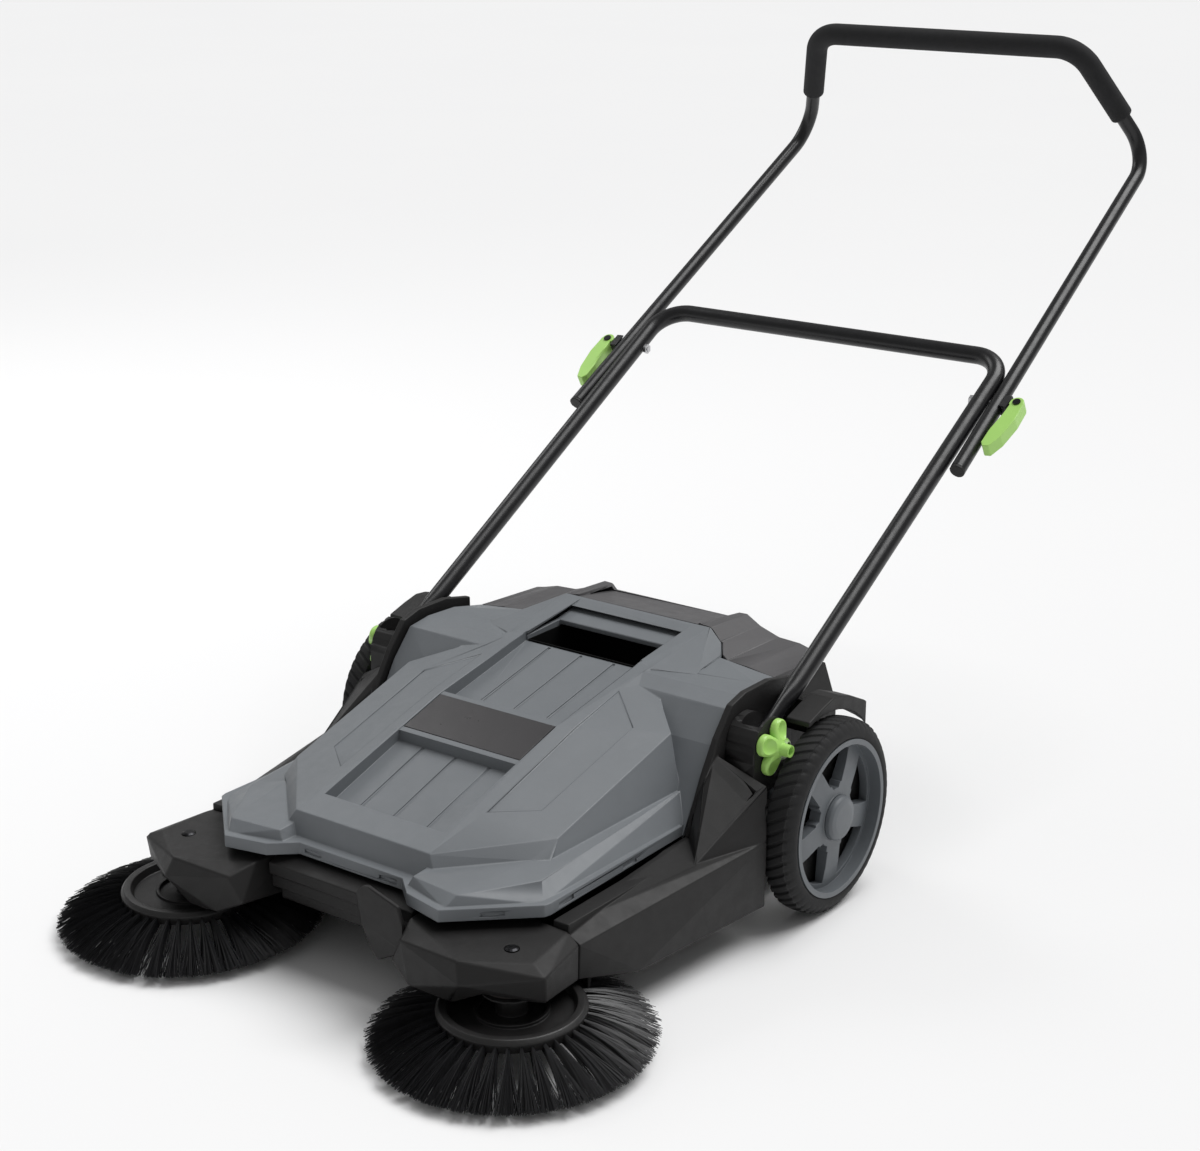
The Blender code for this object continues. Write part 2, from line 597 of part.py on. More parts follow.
def lid():
    """Container lid: stepped rim, raised centre with a sunk panel, and a grip over a pocket."""
    shell = carve(join(*lid_blocks(0.0)),
                  *[("DIFFERENCE", block) for block in lid_blocks(WALL)],
                  ("DIFFERENCE", box((-130, 20, 100), (130, 62, 201))),
                  ("DIFFERENCE", box((-224, -380, 90), (224, 30, LID_RIM_LOW + 6))))
    under = [(y, z - WALL) for y, z in PANEL_FLOOR]
    over = [(y, height_at(PANEL_EDGE, y) - 1.5) for y, z in PANEL_FLOOR]
    pan = prism([(-393, 150), *under, (-38, 241), *reversed(over), (-393, 157)],
                -PANEL_HALF - WALL, PANEL_HALF + WALL, "X")
    pocket = prism([(-45, 199), (63.5, 199), (63.5, 262), (21, 254), (-45, 251)],
                   -PANEL_HALF - WALL, PANEL_HALF + WALL, "X")
    pad_z = [height_at(PANEL_EDGE, y) - 3.3 for y in (-262, -197)]
    body = join(shell, pan, pocket)
    sunk = prism([*PANEL_FLOOR[:3], (-41, 244.7), (-41, 300), (-389, 300)],
                 -PANEL_HALF, PANEL_HALF, "X")
    hollow = prism([(-41.5, 202), (60.5, 202), (60.5, 246), (52, 249), (30, 246), (20, 248),
                    (20, 300), (-41.5, 300)], -PANEL_HALF + 2, PANEL_HALF - 2, "X")
    bar_top = prism([(19, 254.5), (26, 259), (60, 269.2), (60, 300), (19, 300)],
                    -PANEL_HALF + 2, PANEL_HALF - 2, "X")
    body = carve(body, ("DIFFERENCE", sunk), ("DIFFERENCE", hollow), ("DIFFERENCE", bar_top))
    pad = prism([(-262, 190), (-262, pad_z[0]), (-197, pad_z[1]), (-197, 205)],
                -PANEL_HALF - 1, PANEL_HALF + 1, "X")
    body = join(body, pad)
    cuts = []
    for x in (-46.6, 0.0, 46.6):
        for y0, y1 in ((-377, -267), (-168, -44)):
            line = [(y, height_at(PANEL_FLOOR, y)) for y in (y0, y1)]
            slot = [(y, z - 1.6) for y, z in line] + [(y, z + 9) for y, z in reversed(line)]
            cuts.append(prism(slot, x - 1.8, x + 1.8, "X"))
    for s in SIDES.values():
        outline = [(103, -341), (146, -305), (149, -148), (99, -106)]
        cuts.append(carve(prism([(s * x, y) for x, y in outline], 150, 300),
                          ("DIFFERENCE", moved(hull(both(raised_points(0.0))), (0, 0, -1.8)))))
        cuts.extend(rim_slots(s))
    cuts.append(box((-240, -82, 90), (240, 40, LID_RIM_LOW + 17.5)))
    return carve(body, *[("DIFFERENCE", cut) for cut in cuts])


def rim_slots(s):
    """Shallow slots in the lid's rim on one side: (place, heading in degrees)."""
    places = [((52.5, -441), 0), ((188, -438), 42.3), ((LID_HALF, -370), 90),
              ((LID_HALF, -262), 90)]
    slots = []
    for (x, y), heading in places:
        slot = box((-12, -2.0, -2.4), (12, 2.0, 2.4))
        turn = Matrix.Rotation(math.radians(s * heading), 4, "Z")
        slots.append(moved(slot, (s * x, y, 128.5), turn))
    return slots


def tub():
    """Debris tub under the lid, open to the front where the brushes throw the dirt in."""
    outer = [(-385, 50), (26, 50), (26, 196), (-112, 196), (-166, 118), (-385, 118)]
    inner = [(-382, 53), (23, 53), (23, 260), (-112, 260), (-166, 200), (-382, 200)]
    body = carve(prism(outer, -164, 164, "X"), ("DIFFERENCE", prism(inner, -161, 161, "X")))
    door = box((-93, -390, 60), (93, -378, 130))
    return carve(body, ("DIFFERENCE", door))


def label_plate():
    """Plain plate let into the centre panel."""
    low = [(-261, height_at(PANEL_EDGE, -261) - 3.0), (-198, height_at(PANEL_EDGE, -198) - 3.0)]
    high = [(y, z + 2.6) for y, z in reversed(low)]
    return prism(low + high, -81.5, 81.5, "X")


part("container_lid", lid(), "CONTAINER", "lid_grey")
part("debris_tub", tub(), "CONTAINER", "chassis_black")
part("label_plate", label_plate(), "CONTAINER", "plate_dark")


# ---------------------------------------------------------------- handle brackets and pivots

def handle_bracket(s):
    """Rounded bracket beside the lid that takes the lower end of the handle tube."""
    drum = arc(32.5, 0, 180, 12, (PIVOT_Y, PIVOT_Z))
    outline = drum + [(PIVOT_Y - 32.5, 196), (-103, 160), (-96, 149), (-40, 160),
                      (PIVOT_Y + 32.5, 190)]
    body = prism(outline, *sorted((s * (ARCH_OUT + GAP), s * 275.0)), "X")
    slot = arc(18.0, 180, 310, 6, (PIVOT_Y, PIVOT_Z)) + [
        (PIVOT_Y + 60, PIVOT_Z + 10), (PIVOT_Y + 60, PIVOT_Z + 60), (PIVOT_Y - 18, PIVOT_Z + 60)]
    channel = prism(slot, *sorted((s * 248.0, s * 271.9)), "X")
    bore = moved(flipped(rod(4.3, 230, 280, 16, "X"), s), (0, PIVOT_Y, PIVOT_Z))
    seat = moved(flipped(rod(8.3, 230, 244.3, 16, "X"), s), (0, PIVOT_Y, PIVOT_Z))
    wall = [hull(sided([(x, y, z) for x, y, z in panel_points(-GAP)], s))]
    return carve(body, ("DIFFERENCE", channel), ("DIFFERENCE", bore), ("DIFFERENCE", seat),
                 *[("DIFFERENCE", shape) for shape in wall])


def star_knob(first_petal):
    """Clamping knob on the pivot axis: four fat petals that slope up to a bored hub."""
    petals = []
    for k in range(4):
        turn = math.radians(90.0 * k + first_petal)
        c, n = math.cos(turn), math.sin(turn)
        points = []
        for radius, out, x in ((12.5, 19.5, 275.6), (12.5, 19.5, 282.5), (8.0, 0.0, 289.6)):
            points += [(x, y, z) for y, z in arc(radius, 0, 330, 11, (out * c, out * n))]
        petals.append(hull(points))
    hub = turned([(0, 275.6), (15, 275.6), (13, 284), (7.2, 291), (6.6, 302), (0, 302)], 16, "X",
                 False)
    bore = rod(4.3, 270, 297.5, 12, "X")
    mouth = rod(5.2, 296, 305, 12, "X")
    return carve(join(hub, *petals), ("DIFFERENCE", bore), ("DIFFERENCE", mouth))


for side, s in SIDES.items():
    part(f"handle_bracket_{side}", handle_bracket(s), "SWEEPER", "chassis_black")
    bolt = turned([(0, 238.6), (7.6, 238.6), (7.6, 244), (4, 244), (4, 296), (0, 296)], 16, "X",
                  False)
    part(f"pivot_bolt_{side}", moved(flipped(bolt, s), (0, PIVOT_Y, PIVOT_Z)), "SWEEPER", "steel")
    knob = flipped(star_knob(KNOB_TURN[side]), s)
    part(f"star_knob_{side}", knob, f"KNOB_{side}", "lever_green", True)


# ---------------------------------------------------------------- wheels

def wheel_rim():
    """Five-spoke rim with the long hub sleeve that reaches the belt pulley."""
    barrel = turned([(84, 327.6), (84, 295), (RIM_R - GAP, TYRE_IN + 3.3), (RIM_R - GAP, 325.5),
                     (RIM_R + 0.5, 327.6)], 36, "X")
    disc = ring(12.0, 86.0, 307.0, 315.0, 36, "X")
    back = ring(12.0, 86.0, 296.5, 299.5, 36, "X")
    windows = []
    for k in range(WHEEL_SPOKES):
        middle = 360.0 * (k + 0.25) / WHEEL_SPOKES
        outline = arc(76, middle - 24, middle + 24, 4) + arc(40, middle + 17, middle + 12, 1)
        outline += arc(33, middle + 8, middle - 8, 1) + arc(40, middle - 12, middle - 17, 1)
        windows.append(prism(outline, 300, 325, "X"))
    hub = turned([(AXLE_R + GAP, 218), (13, 218), (13, 296), (20, 300), (20, 318),
                  (AXLE_R + GAP, 318)], 20, "X")
    return carve(disc, *[("DIFFERENCE", window) for window in windows], ("UNION", back),
                 ("UNION", barrel), ("UNION", hub))


def wheel_tyre():
    """Solid rubber tyre with rounded shoulders."""
    section = [(RIM_R, TYRE_IN + 3), (RIM_R, 325.2), (96, TYRE_OUT), (104, 325), (109, 319),
               (WHEEL_R, 313), (WHEEL_R, 296), (106, TYRE_IN), (92, TYRE_IN)]
    return turned(section, 36, "X")


def wheel_pulley():
    """Grooved belt pulley behind the wheel."""
    x, r = WHEEL_PULLEY_X, WHEEL_PULLEY_R
    return turned([(AXLE_R + GAP, x - 7), (r + 3, x - 7), (r + 3, x - 5.2), (r - 3.4, x - 3),
                   (r - 3.4, x + 3), (r + 3, x + 5.2), (r + 3, x + 7), (AXLE_R + GAP, x + 7)],
                  16, "X")


HUB_CAP = [(0, 330), (20, 329.7), (25, 327.5), (26, 325), (26, 315.4), (20.4, 315.4),
           (20.4, 323.3), (0, 323.3)]

for side, s in SIDES.items():
    carrier = f"WHEEL_{side}"
    part(f"wheel_rim_{side}", flipped(wheel_rim(), s), carrier, "rim_grey", True)
    part(f"wheel_tyre_{side}", flipped(wheel_tyre(), s), carrier, "tyre_rubber", True)
    part(f"hub_cap_{side}", flipped(turned(HUB_CAP, 16, "X", False), s), carrier, "rim_grey", True)
    part(f"wheel_pulley_{side}", flipped(wheel_pulley(), s), carrier, "nylon_white", True)
    axle = turned([(0, 191), (AXLE_R, 191), (AXLE_R, 318.4), (12, 318.4), (12, 321.8), (0, 321.8)],
                  16, "X", False)
    part(f"stub_axle_{side}", moved(flipped(axle, s), (0, 0, WHEEL_R)), "SWEEPER", "steel")
    bush = ring(13.3, 16.7, 243.0, 252.0, 20, "X")
    part(f"axle_bush_{side}", moved(flipped(bush, s), (0, 0, WHEEL_R)), "SWEEPER", "nylon_white")


# ---------------------------------------------------------------- side brushes and drive

BRUSH_HUB = [(SPINDLE_R + GAP, 36), (64, 36), (64, 33), (78, 33), (78, 44), (74, 48), (66, 48),
             (64, 39.5), (38, 39.5), (38, 43), (34, 43), (34, 39.5), (16, 39.5), (16, 58),
             (SPINDLE_R + GAP, 58)]
BRISTLES = [(62, 32.7), (79.0, 32.7), (79.3, 35.5), (112, 28), (BRUSH_R, 15.5), (148, 2), (140, 0),
            (120, 6), (62, 24)]


def belt(s):
    """Round belt with a quarter twist, from the wheel pulley to the brush pulley."""
    path = []
    for k in range(11):
        turn = math.pi * k / 10
        path.append(Vector((s * WHEEL_PULLEY_X, WHEEL_PULLEY_R * math.sin(turn),
                            WHEEL_R - WHEEL_PULLEY_R * math.cos(turn))))
    for k in range(11):
        turn = math.pi * k / 10
        rim = Vector((s * BRUSH_PULLEY_R * math.cos(turn), -BRUSH_PULLEY_R * math.sin(turn),
                      BRUSH_PULLEY_H))
        path.append(BRUSH_FRAME[s] @ rim)
    return sweep(path, BELT_R, 8, loop=True)


for side, s in SIDES.items():
    carrier = f"BRUSH_{side}"
    part(f"brush_hub_{side}", turned(BRUSH_HUB, 20), carrier, "brush_hub_black", True)
    part(f"brush_bristles_{side}", turned(BRISTLES, 32), carrier, "bristle_black", True)
    part(f"brush_spindle_{side}", rod(SPINDLE_R, 30, 94, 20), carrier, "steel", True)
    h, r = BRUSH_PULLEY_H, BRUSH_PULLEY_R
    groove = turned([(SPINDLE_R + GAP, h - 7), (r + 3, h - 7), (r + 3, h - 5.2), (r - 3.4, h - 3),
                     (r - 3.4, h + 3), (r + 3, h + 5.2), (r + 3, h + 7), (SPINDLE_R + GAP, h + 7)],
                    16)
    part(f"brush_pulley_{side}", groove, carrier, "nylon_white", True)
    bearing = ring(SPINDLE_R + GAP, 14, 79, 95, 20)
    bearing.transform(BRUSH_FRAME[s])
    part(f"spindle_bearing_{side}", bearing, "SWEEPER", "steel")
    screw = turned([(0, 98), (3, 98), (3, 107.5), (7.4, 107.5), (7.4, 110), (5, 111.5), (0, 111.5)],
                   16, "Z", False)
    part(f"housing_screw_{side}", moved(screw, (s * BRUSH_X, BRUSH_Y, 0)), "SWEEPER",
         "black_steel")
    part(f"drive_belt_{side}", belt(s), "SWEEPER", "belt_rubber")


# ---------------------------------------------------------------- handle

def lower_tube():
    """Lower handle: one tube, up one side, across, and down the other."""
    x, y, z = CROSSBAR
    path = rounded([along(-13, LOWER_X), (x, y, z), (-x, y, z), along(-13, -LOWER_X)], 42, 5)
    body = sweep(path, LOWER_R, 10, LOWER_R - 1.5)
    holes = []
    for place, radius in ((along(0), 4.3), (along(CLAMP_AT), 3.3)):
        for s in SIDES.values():
            holes.append(moved(flipped(rod(radius, 235, 275, 12, "X"), s), place))
    return carve(body, *[("DIFFERENCE", hole) for hole in holes])


def upper_path():
    """Centre line of the upper handle, from its lower right end round to the lower left."""
    right = [along(UPPER_END, UPPER_X), BEND]
    top = [GRIP, (-GRIP[0], *GRIP[1:])]
    left = [(-BEND[0], *BEND[1:]), along(UPPER_END, -UPPER_X)]
    return rounded(right + top + left, GRIP_BEND, 4)


def upper_tube():
    """Upper handle: legs that lean in to the cranked grip."""
    body = sweep(upper_path(), UPPER_R, 10, UPPER_R - 1.3)
    holes = [moved(flipped(rod(3.3, 262, 296, 12, "X"), s), along(CLAMP_AT))
             for s in SIDES.values()]
    return carve(body, *[("DIFFERENCE", hole) for hole in holes])


def foam_grip():
    """Foam sleeve over the grip bar and the upper part of its legs."""
    start = Vector(BEND).lerp(Vector(GRIP), 0.38)
    path = rounded([start, GRIP, (-GRIP[0], *GRIP[1:]), (-start.x, start.y, start.z)], GRIP_BEND, 4)
    return sweep(path, FOAM_R, 12, UPPER_R + 2 * GAP)


def end_plug(s):
    """Plastic plug in the open lower end of the upper tube."""
    plug = turned([(0, -4), (UPPER_R, -4), (UPPER_R, -GAP), (7.8, -GAP), (7.8, 14), (0, 14)], 16,
                  "Z", False)
    start = Vector(along(UPPER_END, s * UPPER_X))
    heading = Vector((s * BEND[0], *BEND[1:])) - start
    return moved(plug, start, heading.to_track_quat("Z", "Y").to_matrix().to_4x4())


def cam_lever():
    """Quick-release lever: forked cam boss round the pin, blade lying along the tube."""
    blade = [(-7, -2), (-8, -22), (-12, -52), (-12, -74), (-8, -80), (0, -79), (7, -60), (11, -28),
             (9.5, 0)]
    body = join(prism(blade, -8.5, 8.5), rod(9.0, -8.5, 8.5, 24))
    fork = box((-30, -6.3, -3.3), (6.3, 30, 3.3))
    return carve(body, ("DIFFERENCE", fork), ("DIFFERENCE", rod(2.6, -20, 20, 12)))


part("lower_handle_tube", lower_tube(), "LOWER_HANDLE", "tube_paint")
part("upper_handle_tube", upper_tube(), "UPPER_HANDLE", "tube_paint")
part("foam_grip", foam_grip(), "UPPER_HANDLE", "foam_black")
for side, s in SIDES.items():
    part(f"tube_end_plug_{side}", end_plug(s), "UPPER_HANDLE", "chassis_black")
    place = along(CLAMP_AT)
    eye = carve(rod(5.5, -2.9, 2.9, 20), ("DIFFERENCE", rod(2.6, -9, 9, 12)))
    shank = rod(2.9, 239.5 - LEVER_X, -4.0, 16, "X")
    bolt = flipped(join(eye, shank), s)
    bolt.transform(FRAMES[f"LEVER_{side}"])
    part(f"clamp_bolt_{side}", bolt, "UPPER_HANDLE", "steel")
    nut = carve(rod(6.5, 240.5, 244.9, 6, "X"), ("DIFFERENCE", rod(3.2, 235, 250, 16, "X")))
    part(f"clamp_nut_{side}", moved(flipped(nut, s), place), "UPPER_HANDLE", "steel")
    pad = slab(s, CLAMP_X + UPPER_R - 2.5, LEVER_X - 9.4, -10, 10, -8, 8)
    groove = moved(rod(UPPER_R + 0.7, -20, 20), (s * CLAMP_X, 0, 0),
                   Matrix.Rotation(math.pi / 2, 4, "X"))
    hole = flipped(rod(3.2, 235, 305, 16, "X"), s)
    bearing_pad = carve(pad, ("DIFFERENCE", groove), ("DIFFERENCE", hole))
    part(f"cam_saddle_{side}", moved(bearing_pad, place, ALONG_TUBE), "UPPER_HANDLE",
         "chassis_black")
    part(f"cam_lever_{side}", flipped(cam_lever(), s), f"LEVER_{side}", "lever_green", True)
    pin = turned([(0, -10), (5, -10), (5, -8.8), (2.3, -8.8), (2.3, 8.8), (5, 8.8), (5, 10), (0, 10)],
                 16, "Z", False)
    part(f"lever_pin_{side}", pin, f"LEVER_{side}", "black_steel", True)
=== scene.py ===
"""Looks of the walk-behind push floor sweeper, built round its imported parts.

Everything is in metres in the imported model's own frame: +X is the right-hand side seen from the
front, the front faces -Y, +Z is up and the floor is Z = 0.
"""
import json
import math
import random

import bmesh
import bpy
from mathutils import Matrix, Vector


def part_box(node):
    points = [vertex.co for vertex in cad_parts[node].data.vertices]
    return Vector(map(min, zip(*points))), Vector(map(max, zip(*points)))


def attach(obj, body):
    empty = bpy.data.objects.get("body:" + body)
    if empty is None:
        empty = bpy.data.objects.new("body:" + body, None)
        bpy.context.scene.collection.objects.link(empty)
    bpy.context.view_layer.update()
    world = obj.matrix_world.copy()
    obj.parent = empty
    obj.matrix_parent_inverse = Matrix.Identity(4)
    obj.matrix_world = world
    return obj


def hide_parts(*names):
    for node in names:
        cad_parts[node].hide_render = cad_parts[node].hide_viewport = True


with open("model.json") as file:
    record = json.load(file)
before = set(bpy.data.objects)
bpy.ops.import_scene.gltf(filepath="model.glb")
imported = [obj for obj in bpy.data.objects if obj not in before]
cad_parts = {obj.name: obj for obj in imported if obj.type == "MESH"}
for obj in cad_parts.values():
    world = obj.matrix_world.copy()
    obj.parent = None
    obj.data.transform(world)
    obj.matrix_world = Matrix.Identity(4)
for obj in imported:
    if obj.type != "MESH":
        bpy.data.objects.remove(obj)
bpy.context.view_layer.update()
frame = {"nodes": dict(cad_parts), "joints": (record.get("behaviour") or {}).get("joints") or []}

MM = 0.001
SIDES = {"right": 1, "left": -1}
JOINTS = {joint["name"]: joint for joint in frame["joints"]}
AXLE = Vector(JOINTS["wheel_right_roll"]["pos_m"])
PIVOT = Vector(JOINTS["handle_tilt"]["pos_m"])
CLAMP = Vector(JOINTS["handle_fold"]["pos_m"])
UP_TUBE = (CLAMP - PIVOT).normalized()
random.seed(7)

# ---------------------------------------------------------------- materials

MATERIALS = {}


def wire(tree, source, target):
    """Link two sockets."""
    tree.links.new(source, target)


def noise_node(tree, scale, detail=3.0, roughness=0.55, stretch=None):
    """Noise in object space, which is the row frame in metres."""
    place = tree.nodes.new("ShaderNodeTexCoord").outputs["Object"]
    if stretch:
        mapping = tree.nodes.new("ShaderNodeMapping")
        mapping.inputs["Scale"].default_value = stretch
        wire(tree, place, mapping.inputs["Vector"])
        place = mapping.outputs["Vector"]
    made = tree.nodes.new("ShaderNodeTexNoise")
    made.inputs["Scale"].default_value = scale
    made.inputs["Detail"].default_value = detail
    made.inputs["Roughness"].default_value = roughness
    wire(tree, place, made.inputs["Vector"])
    return made.outputs["Fac"]


def ramp(tree, source, stops):
    """A colour ramp with (position, grey or colour) stops."""
    made = tree.nodes.new("ShaderNodeValToRGB")
    line = made.color_ramp
    while len(line.elements) < len(stops):
        line.elements.new(0.5)
    for element, (place, value) in zip(line.elements, stops):
        element.position = place
        rgb = value if isinstance(value, tuple) else (value, value, value)
        element.color = (*rgb, 1.0)
    wire(tree, source, made.inputs["Fac"])
    return made.outputs["Color"]


def mix(tree, factor, first, second, mode="MIX"):
    """Mix two colours, each a socket or an RGB tuple, by a socket or a number."""
    made = tree.nodes.new("ShaderNodeMix")
    made.data_type, made.blend_type = "RGBA", mode
    for socket, value in ((made.inputs[0], factor), (made.inputs[6], first),
                          (made.inputs[7], second)):
        if isinstance(value, bpy.types.NodeSocket):
            wire(tree, value, socket)
        elif isinstance(value, tuple):
            socket.default_value = (*value, 1.0)
        else:
            socket.default_value = value
    return made.outputs[2]


def bumped(tree, shader, layers):
    """Stack (height socket, distance in metres, strength) bumps on a shader's normal."""
    normal = None
    for height, distance, strength in layers:
        bump = tree.nodes.new("ShaderNodeBump")
        bump.inputs["Distance"].default_value = distance
        bump.inputs["Strength"].default_value = strength
        wire(tree, height, bump.inputs["Height"])
        if normal:
            wire(tree, normal, bump.inputs["Normal"])
        normal = bump.outputs["Normal"]
    wire(tree, normal, shader.inputs["Normal"])


def scaled(colour, factor):
    """A colour times a factor."""
    return tuple(min(1.0, channel * factor) for channel in colour)


def new_material(name):
    """An empty Principled material."""
    made = bpy.data.materials.new(name)
    made.use_nodes = True
    MATERIALS[name] = made
    return made.node_tree, made.node_tree.nodes["Principled BSDF"]


def moulded(name, colour, roughness, grain=0.8, edge=1.15, specular=0.4, coat=0.0, wear=0.4):
    """Injection-moulded plastic: spark-eroded grain, faint mottling and lighter rubbed patches."""
    tree, shader = new_material(name)
    mottle = noise_node(tree, 22.0, 4.0)
    base = mix(tree, mottle, scaled(colour, 0.93), scaled(colour, 1.07))
    if wear:
        rubbed = ramp(tree, noise_node(tree, 34.0, 7.0, 0.75, (1.0, 0.35, 1.0)),
                      [(0.56, 0.0), (0.74, wear)])
        base = mix(tree, rubbed, base, scaled(colour, edge))
    wire(tree, base, shader.inputs["Base Color"])
    gloss = ramp(tree, noise_node(tree, 60.0, 5.0, 0.65),
                 [(0.30, roughness - 0.06), (0.70, roughness + 0.07)])
    wire(tree, gloss, shader.inputs["Roughness"])
    shader.inputs["Specular IOR Level"].default_value = specular
    shader.inputs["Coat Weight"].default_value = coat
    shader.inputs["Coat Roughness"].default_value = 0.25
    spark = noise_node(tree, 1500.0, 2.0, 0.6)
    wave = noise_node(tree, 9.0, 1.0)
    bumped(tree, shader, [(wave, 0.0005, 0.2), (spark, 0.00022, grain)])


def rubber(name, colour, roughness, scale=900.0, strength=0.7):
    """Matte rubber or foam with a fine open surface."""
    tree, shader = new_material(name)
    base = mix(tree, noise_node(tree, 70.0, 5.0, 0.7), scaled(colour, 0.75), scaled(colour, 1.35))
    wire(tree, base, shader.inputs["Base Color"])
    gloss = ramp(tree, noise_node(tree, 120.0, 3.0), [(0.3, roughness - 0.05), (0.7, roughness)])
    wire(tree, gloss, shader.inputs["Roughness"])
    shader.inputs["Specular IOR Level"].default_value = 0.35
    bumped(tree, shader, [(noise_node(tree, scale, 3.0, 0.6), 0.0004, strength)])


def metal(name, colour, roughness, brushed):
    """Plated steel with fine drawn lines."""
    tree, shader = new_material(name)
    lines = noise_node(tree, 400.0, 3.0, 0.6, brushed)
    wire(tree, mix(tree, lines, scaled(colour, 0.82), scaled(colour, 1.12)),
         shader.inputs["Base Color"])
    wire(tree, ramp(tree, lines, [(0.3, roughness - 0.08), (0.7, roughness + 0.1)]),
         shader.inputs["Roughness"])
    shader.inputs["Metallic"].default_value = 1.0
    bumped(tree, shader, [(lines, 0.0001, 0.3)])


def painted_tube(name, colour):
    """Satin black powder coat with a slight orange peel and a few dull scuffs."""
    tree, shader = new_material(name)
    wire(tree, mix(tree, noise_node(tree, 40.0), scaled(colour, 0.8), scaled(colour, 1.3)),
         shader.inputs["Base Color"])
    scuffs = ramp(tree, noise_node(tree, 90.0, 6.0, 0.75), [(0.45, 0.29), (0.72, 0.42)])
    wire(tree, scuffs, shader.inputs["Roughness"])
    shader.inputs["Specular IOR Level"].default_value = 0.42
    bumped(tree, shader, [(noise_node(tree, 450.0, 2.0), 0.0001, 0.35)])


def bristle_fibre(name, colour):
    """Stiff black fibre; tufts differ a little in tone."""
    tree, shader = new_material(name)
    tone = mix(tree, noise_node(tree, 160.0, 2.0), scaled(colour, 0.6), scaled(colour, 2.2))
    wire(tree, tone, shader.inputs["Base Color"])
    wire(tree, ramp(tree, noise_node(tree, 700.0, 2.0), [(0.3, 0.36), (0.7, 0.52)]),
         shader.inputs["Roughness"])
    shader.inputs["Specular IOR Level"].default_value = 0.5


LID = (0.158, 0.170, 0.182)
CHASSIS = (0.0155, 0.0150, 0.0150)
COVER = (0.082, 0.080, 0.083)
RIM = (0.125, 0.136, 0.147)
GREEN = (0.400, 0.700, 0.165)
moulded("lid_grey", LID, 0.44)
moulded("chassis_black", CHASSIS, 0.50, edge=1.3, specular=0.3)
moulded("cover_grey", COVER, 0.47)
moulded("rim_grey", RIM, 0.42, grain=0.5)
moulded("brush_hub_black", (0.014, 0.0135, 0.0135), 0.40, edge=1.3)
moulded("lever_green", GREEN, 0.34, grain=0.35, edge=1.12, coat=0.15)
moulded("nylon_white", (0.52, 0.51, 0.47), 0.45, grain=0.4, edge=1.05)
moulded("plate_dark", (0.036, 0.034, 0.036), 0.32, grain=0.25, wear=0.0)
# painted shade: the near-black of the box set inside the finger pocket, standing in for the
# pocket's shade on the grey lid
moulded("painted_pocket_shade", (0.004, 0.004, 0.004), 0.60, specular=0.15, wear=0.0)
moulded("saddle_black", (0.016, 0.016, 0.017), 0.38, grain=0.5, edge=1.3)
rubber("tyre_rubber", (0.011, 0.011, 0.0115), 0.74)
rubber("foam_black", (0.014, 0.014, 0.015), 0.86, 1300.0, 1.0)
rubber("belt_rubber", (0.028, 0.024, 0.022), 0.62)
metal("steel", (0.56, 0.56, 0.57), 0.30, (1.0, 1.0, 14.0))
metal("black_steel", (0.030, 0.030, 0.032), 0.34, (1.0, 1.0, 6.0))
painted_tube("tube_paint", (0.0075, 0.0075, 0.0085))
bristle_fibre("bristle_black", (0.0075, 0.0075, 0.0085))


# ---------------------------------------------------------------- meshes

def finished(name, bm, body, finish, stands_for=(), crease=30.0):
    """One visual piece from a bmesh: smooth shading, material, body and CAD nodes it stands for."""
    bmesh.ops.recalc_face_normals(bm, faces=bm.faces)
    mesh = bpy.data.meshes.new(name)
    bm.to_mesh(mesh)
    bm.free()
    mesh.shade_smooth()
    mesh.set_sharp_from_angle(angle=math.radians(crease))
    mesh.materials.append(MATERIALS[finish])
    piece = bpy.data.objects.new(name, mesh)
    bpy.context.scene.collection.objects.link(piece)
    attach(piece, body)
    if stands_for:
        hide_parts(*stands_for)
    return piece


def round_edges(piece, width, segments=2, angle=25.0):
    """A Bevel modifier on a piece's corners."""
    bevel = piece.modifiers.new("rounding", "BEVEL")
    bevel.width, bevel.segments = width, segments
    bevel.limit_method, bevel.angle_limit = "ANGLE", math.radians(angle)
    bevel.harden_normals = True
    bevel.miter_outer = "MITER_ARC"
    return piece


FACET = 8.0     # faces that meet at less than this angle, in degrees, shade as one


def softened(node, body, finish, width, shortest=3.0 * MM, angle=14.0, segments=2):
    """A CAD solid with the corners between its larger faces rounded over."""
    bm = bmesh.new()
    bm.from_mesh(frame["nodes"][node].data)
    bmesh.ops.remove_doubles(bm, verts=bm.verts, dist=1e-5)
    weight = bm.edges.layers.float.new("bevel_weight_edge")
    for edge in bm.edges:
        if len(edge.link_faces) != 2:
            continue
        bend = edge.calc_face_angle(0.0)
        small = min(face.calc_area() for face in edge.link_faces) < (2.2 * width) ** 2
        if bend > math.radians(angle) and edge.calc_length() > shortest and not small:
            edge[weight] = 1.0
    piece = finished(f"{node}_moulding", bm, body, finish, stands_for=(node,), crease=FACET)
    bevel = piece.modifiers.new("rounding", "BEVEL")
    bevel.width, bevel.segments = width, segments
    bevel.limit_method = "WEIGHT"
    bevel.use_clamp_overlap = False
    bevel.harden_normals = True
    bevel.loop_slide = False
    return piece


def prism(outline, low, high, axis="Z"):
    """A flat outline pulled from low to high: (x, y) for Z, (y, z) for X."""
    place = {"Z": lambda a, b, h: (a, b, h), "X": lambda a, b, h: (h, a, b)}[axis]
    bm = bmesh.new()
    rings = [[bm.verts.new(place(a, b, h)) for a, b in outline] for h in (low, high)]
    count = len(outline)
    for edge in rings:
        bm.faces.new(edge)
    for i in range(count):
        j = (i + 1) % count
        bm.faces.new((rings[0][i], rings[0][j], rings[1][j], rings[1][i]))
    bmesh.ops.recalc_face_normals(bm, faces=bm.faces)
    return bm


